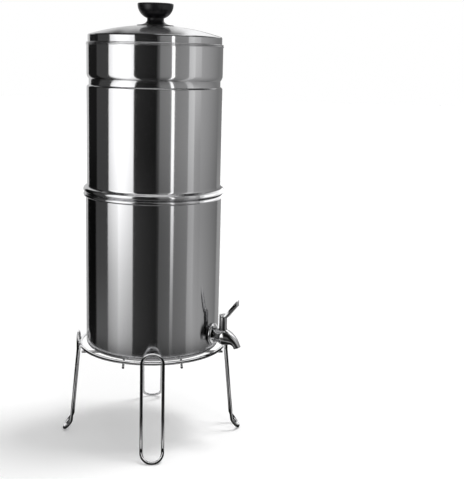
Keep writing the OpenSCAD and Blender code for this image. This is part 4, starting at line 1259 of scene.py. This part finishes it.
class FILTER_OT_stage(bpy.types.Operator):
    """Sets the floor, the white surroundings, the strips, the lamps and the camera"""
    bl_idname = "filter.stage"
    bl_label = "Studio"

    def execute(self, context):
        s = context.scene.filter_stage
        context.scene.view_settings.view_transform = "Standard"
        self.surroundings(context.scene, s)
        self.floor(s)
        for card in CARDS:
            self.card(0, CARD_TOP, CARD_HEIGHTS, *card)
        for card in TALL_CARDS:
            self.card(CARD_TOP, TALL_CARD_TOP, TALL_HEIGHTS, *card)
        self.lid_flag(context.scene.filter_lid, *LID_FLAG)
        vessel = context.scene.filter_vessel
        for card in TAP_CARDS:
            self.tap_card(context.scene.filter_tap, vessel, *card)
        for card in WIRE_CARDS:
            self.wire_cards(vessel, *card)
        # Painted shade on the floor, for the metal to mirror in place of the shaded floor
        for cloth in FLOOR_SHADE_STRIPS:
            self.cloth(*cloth)
        self.lamp("main_lamp", (0.30, 0.05, 1), s.key, 16)
        self.lamp("right_lamp", (0.80, 0.40, 1), s.right_key, 20)
        self.lamp("front_lamp", (0.30, -0.80, 1), s.front_key, 20)
        self.camera(context.scene)
        return {"FINISHED"}

    def seen(self, tree):
        """1 for rays that show the background: the camera's, glossy and transmitted ones."""
        path = tree.nodes.new("ShaderNodeLightPath").outputs
        return maths(tree, "MAXIMUM", path["Is Camera Ray"],
                     maths(tree, "MAXIMUM", path["Is Glossy Ray"], path["Is Transmission Ray"]))

    def surroundings(self, scene, s):
        world = bpy.data.worlds.new("white_surroundings")
        world.use_nodes = True
        scene.world = world
        tree = world.node_tree
        back = next(n for n in tree.nodes if n.type == "BACKGROUND")
        back.inputs["Color"].default_value = (1, 1, 1, 1)
        tree.links.new(spread(tree, self.seen(tree), 0.0, 1.0, s.fill, 1.0),
                       back.inputs["Strength"])

    def floor(self, s):
        bm = bmesh.new()
        bmesh.ops.create_grid(bm, x_segments=1, y_segments=1, size=FLOOR_SIZE)
        floor = linked("floor", as_mesh(bm, "floor"))
        material, tree, bsdf = shader("pale_floor", tuple(s.floor), Roughness=0.9,
                                      Emission_Color=(1, 1, 1, 1), Specular_IOR_Level=0.0)
        tree.links.new(maths(tree, "MULTIPLY", self.seen(tree), s.floor_glow),
                       bsdf.inputs["Emission Strength"])
        floor.data.materials.append(material)

    def card(self, foot, top, heights, name, first, last, first_share, last_share, levels):
        """An upright strip, lit by its height."""
        tree, light, where = self.swept(name, first, last, (CARD_DISTANCE, foot),
                                        (CARD_DISTANCE, top), (first_share, last_share))
        self.graded(tree, light, where[2], heights, levels)

    def cloth(self, name, first, last, first_share, last_share, levels):
        """A flat strip of painted shade on the floor, that only reflections show, lit by its
        distance from the middle.
        """
        tree, light, where = self.swept(name, first, last, (FLAT_START, FLOOR_SHADE_HEIGHT),
                                        (CARD_DISTANCE, FLOOR_SHADE_HEIGHT), (first_share, last_share))
        self.graded(tree, light, self.reach(tree, where), FLOOR_SHADE_DISTANCES, levels)

    def lid_flag(self, s, name, first, last, level):
        """A dark strip overhead, that only the rounded edge of the lid shows."""
        tree, light, _ = self.swept(name, first, last, (FLAT_START, TALL_CARD_TOP),
                                    (CARD_DISTANCE, TALL_CARD_TOP))
        light.inputs["Color"].default_value = (level, level, level, 1)
        start = self.ray_start(tree)
        above = maths(tree, "GREATER_THAN", start[2], s.seat + s.side - s.edge_round)
        outside = maths(tree, "GREATER_THAN", self.reach(tree, start),
                        s.radius - s.edge_round - INSIDE_EDGE)
        self.shown_to(tree, light, maths(tree, "MULTIPLY", above, outside))

    def tap_card(self, s, vessel, name, first, last, levels):
        """An upright strip round the tap's valve, that only the tap shows."""
        x, y = s.valve_reach * math.cos(s.turn), s.valve_reach * math.sin(s.turn)
        tree, light, where = self.swept(name, first, last, (TAP_CARD_DISTANCE, 0),
                                        (TAP_CARD_DISTANCE, TAP_CARD_TOP), middle=(x, y))
        self.graded(tree, light, where[2], TAP_HEIGHTS, levels)
        start = self.ray_start(tree)
        near = maths(tree, "LESS_THAN", self.reach(tree, start, x, y), TAP_REACH)
        outside = maths(tree, "GREATER_THAN", self.reach(tree, start),
                        vessel.body_radius + OFF_WALL)
        above = maths(tree, "GREATER_THAN", start[2], s.height - s.outlet_drop - BELOW_OUTLET)
        self.shown_to(tree, light, maths(tree, "MULTIPLY",
                                         maths(tree, "MULTIPLY", near, outside), above))
        mirrors = tree.nodes.new("ShaderNodeLightPath").outputs["Glossy Depth"]
        first_mirror = maths(tree, "LESS_THAN", mirrors, 1.5)
        on_lever = maths(tree, "GREATER_THAN", start[2],
                         s.height + s.valve_high + s.bonnet_height)
        strength = maths(tree, "MAXIMUM", first_mirror,
                         maths(tree, "MULTIPLY", on_lever, MIRRORED_SHARE))
        tree.links.new(strength, light.inputs["Strength"])

    def wire_cards(self, vessel, name, first, last, upright, flat):
        """An upright strip, and a flat strip of painted shade on the floor, that only the stand's
        wires show.
        """
        far = WIRE_CARD_DISTANCE
        tree, light, where = self.swept(name, first, last, (far, 0), (far, CARD_TOP))
        self.graded(tree, light, where[2], WIRE_HEIGHTS, upright)
        self.shown_to_wires(tree, light, vessel)
        # The flat strip is painted shade: a darker floor for the wires to mirror
        tree, light, where = self.swept(name + "_cloth", first, last,
                                        (FLAT_START, WIRE_FLOOR_SHADE_HEIGHT), (far, WIRE_FLOOR_SHADE_HEIGHT))
        self.graded(tree, light, self.reach(tree, where), WIRE_DISTANCES, flat)
        self.shown_to_wires(tree, light, vessel)

    def shown_to_wires(self, tree, light, vessel):
        start = self.ray_start(tree)
        below = maths(tree, "LESS_THAN", start[2], vessel.base_height - BELOW_BASE)
        outside = maths(tree, "GREATER_THAN", self.reach(tree, start),
                        vessel.body_radius + OUTSIDE_WALL)
        self.shown_to(tree, light, maths(tree, "MAXIMUM", below, outside))

    def ray_start(self, tree):
        """Where the ray that reaches a card left the last thing that mirrored it."""
        geometry = tree.nodes.new("ShaderNodeNewGeometry").outputs
        back = tree.nodes.new("ShaderNodeVectorMath")
        back.operation = "MULTIPLY_ADD"
        tree.links.new(geometry["Incoming"], back.inputs[0])
        tree.links.new(tree.nodes.new("ShaderNodeLightPath").outputs["Ray Length"],
                       back.inputs[1])
        tree.links.new(geometry["Position"], back.inputs[2])
        return taken_apart(tree, back.outputs[0])

    def shown_to(self, tree, light, shown):
        """Lets rays through a card where a mask is 0."""
        mix = tree.nodes.new("ShaderNodeMixShader")
        tree.links.new(shown, mix.inputs[0])
        tree.links.new(tree.nodes.new("ShaderNodeBsdfTransparent").outputs[0], mix.inputs[1])
        tree.links.new(light.outputs[0], mix.inputs[2])
        out = next(n for n in tree.nodes if n.type == "OUTPUT_MATERIAL")
        tree.links.new(mix.outputs[0], out.inputs["Surface"])

    def reach(self, tree, where, x=0.0, y=0.0):
        """How far a place is from an upright line, measured level."""
        return level_distance(tree, maths(tree, "SUBTRACT", where[0], x),
                              maths(tree, "SUBTRACT", where[1], y))

    def swept(self, name, first, last, start, end, shares=None, middle=(0.0, 0.0)):
        """A line between two points (radius, height), swept from one bearing to another."""
        a0, a1 = math.radians(first), math.radians(last)
        x, y = middle
        bm = bmesh.new()
        ends = [bm.verts.new((x + r * math.sin(a0), y - r * math.cos(a0), z))
                for r, z in (start, end)]
        edge = bm.edges.new(ends)
        bmesh.ops.spin(bm, geom=ends + [edge], cent=(x, y, 0), axis=(0, 0, 1),
                       angle=a1 - a0, steps=max(2, int((last - first) / 2)))
        obj = linked(name, as_mesh(bm, name))
        for kind in ("camera", "diffuse", "shadow", "transmission", "volume_scatter"):
            setattr(obj, "visible_" + kind, False)
        material = bpy.data.materials.new(name)
        material.use_nodes = True
        obj.data.materials.append(material)
        tree = material.node_tree
        tree.nodes.clear()
        out = tree.nodes.new("ShaderNodeOutputMaterial")
        light = tree.nodes.new("ShaderNodeEmission")
        tree.links.new(light.outputs[0], out.inputs["Surface"])
        where = taken_apart(tree, own_place(tree))
        if shares:
            bearing = maths(tree, "ARCTAN2", where[0], maths(tree, "SUBTRACT", 0.0, where[1]))
            tree.links.new(spread(tree, bearing, a0, a1, *shares), light.inputs["Strength"])
        return tree, light, where

    def graded(self, tree, light, value, places, levels):
        """Gives a light its brightness at each of some places along a value."""
        fade = tree.nodes.new("ShaderNodeValToRGB")
        stops = fade.color_ramp.elements
        for i, (place, level) in enumerate(zip(places, levels)):
            stop = stops[i] if i < 2 else stops.new(place)
            stop.position = place
            stop.color = (level, level, level, 1)
        tree.links.new(value, fade.inputs[0])
        tree.links.new(fade.outputs[0], light.inputs["Color"])

    def lamp(self, name, toward, strength, spread_angle):
        """An even soft light from a direction, which reflections don't show."""
        data = bpy.data.lights.new(name, "SUN")
        data.angle = math.radians(spread_angle)
        data.energy = strength
        lamp = linked(name, data)
        lamp.rotation_mode = "QUATERNION"
        lamp.rotation_quaternion = Vector(toward).to_track_quat("Z", "Y")
        lamp.visible_glossy = False

    def camera(self, scene):
        """A camera before the filter, at the height of its upper rim, turned a little right."""
        data = bpy.data.cameras.new("camera")
        data.sensor_width = 36
        data.lens = CAMERA_LENS
        camera = linked("camera", data)
        scene.camera = camera
        pitch, yaw, roll = (math.radians(a) for a in CAMERA_TURN)
        ahead = Vector((-math.sin(yaw) * math.cos(pitch), math.cos(yaw) * math.cos(pitch),
                        math.sin(pitch)))
        right = Vector((math.cos(yaw), math.sin(yaw), 0))
        above = right.cross(ahead)
        x = right * math.cos(roll) + above * math.sin(roll)
        y = above * math.cos(roll) - right * math.sin(roll)
        camera.matrix_world = (Matrix.Translation(CAMERA_PLACE)
                               @ Matrix((x, y, -ahead)).transposed().to_4x4())


class FILTER_PT_sidebar(bpy.types.Panel):
    """Lists the filter's pieces and their sizes"""
    bl_idname = "FILTER_PT_sidebar"
    bl_label = "Gravity Water Filter"
    bl_space_type = "VIEW_3D"
    bl_region_type = "UI"
    bl_category = "Water Filter"

    def draw(self, context):
        for operator in OPERATORS:
            self.layout.operator(operator.bl_idname)
        for name, sizes in GROUPS.items():
            box = self.layout.box()
            box.label(text=sizes.__name__)
            for key in sizes.__annotations__:
                box.prop(getattr(context.scene, name), key)


OPERATORS = (FILTER_OT_stand, FILTER_OT_lower_chamber, FILTER_OT_upper_chamber, FILTER_OT_lid,
             FILTER_OT_knob, FILTER_OT_tap, FILTER_OT_tap_lever, FILTER_OT_candles,
             FILTER_OT_plugs, FILTER_OT_stage)


def register():
    for sizes in GROUPS.values():
        bpy.utils.register_class(sizes)
    for name, sizes in GROUPS.items():
        setattr(bpy.types.Scene, name, PointerProperty(type=sizes))
    for kind in OPERATORS + (FILTER_PT_sidebar,):
        bpy.utils.register_class(kind)


def unregister():
    for kind in reversed(OPERATORS + (FILTER_PT_sidebar,)):
        bpy.utils.unregister_class(kind)
    for name, sizes in GROUPS.items():
        delattr(bpy.types.Scene, name)
        bpy.utils.unregister_class(sizes)


def main():
    register()
    bpy.ops.filter.stand()
    bpy.ops.filter.lower_chamber()
    bpy.ops.filter.upper_chamber()
    bpy.ops.filter.lid()
    bpy.ops.filter.knob()
    bpy.ops.filter.tap()
    bpy.ops.filter.tap_lever()
    bpy.ops.filter.candles()
    bpy.ops.filter.plugs()
    bpy.ops.filter.stage()


if __name__ == "__main__":
    main()
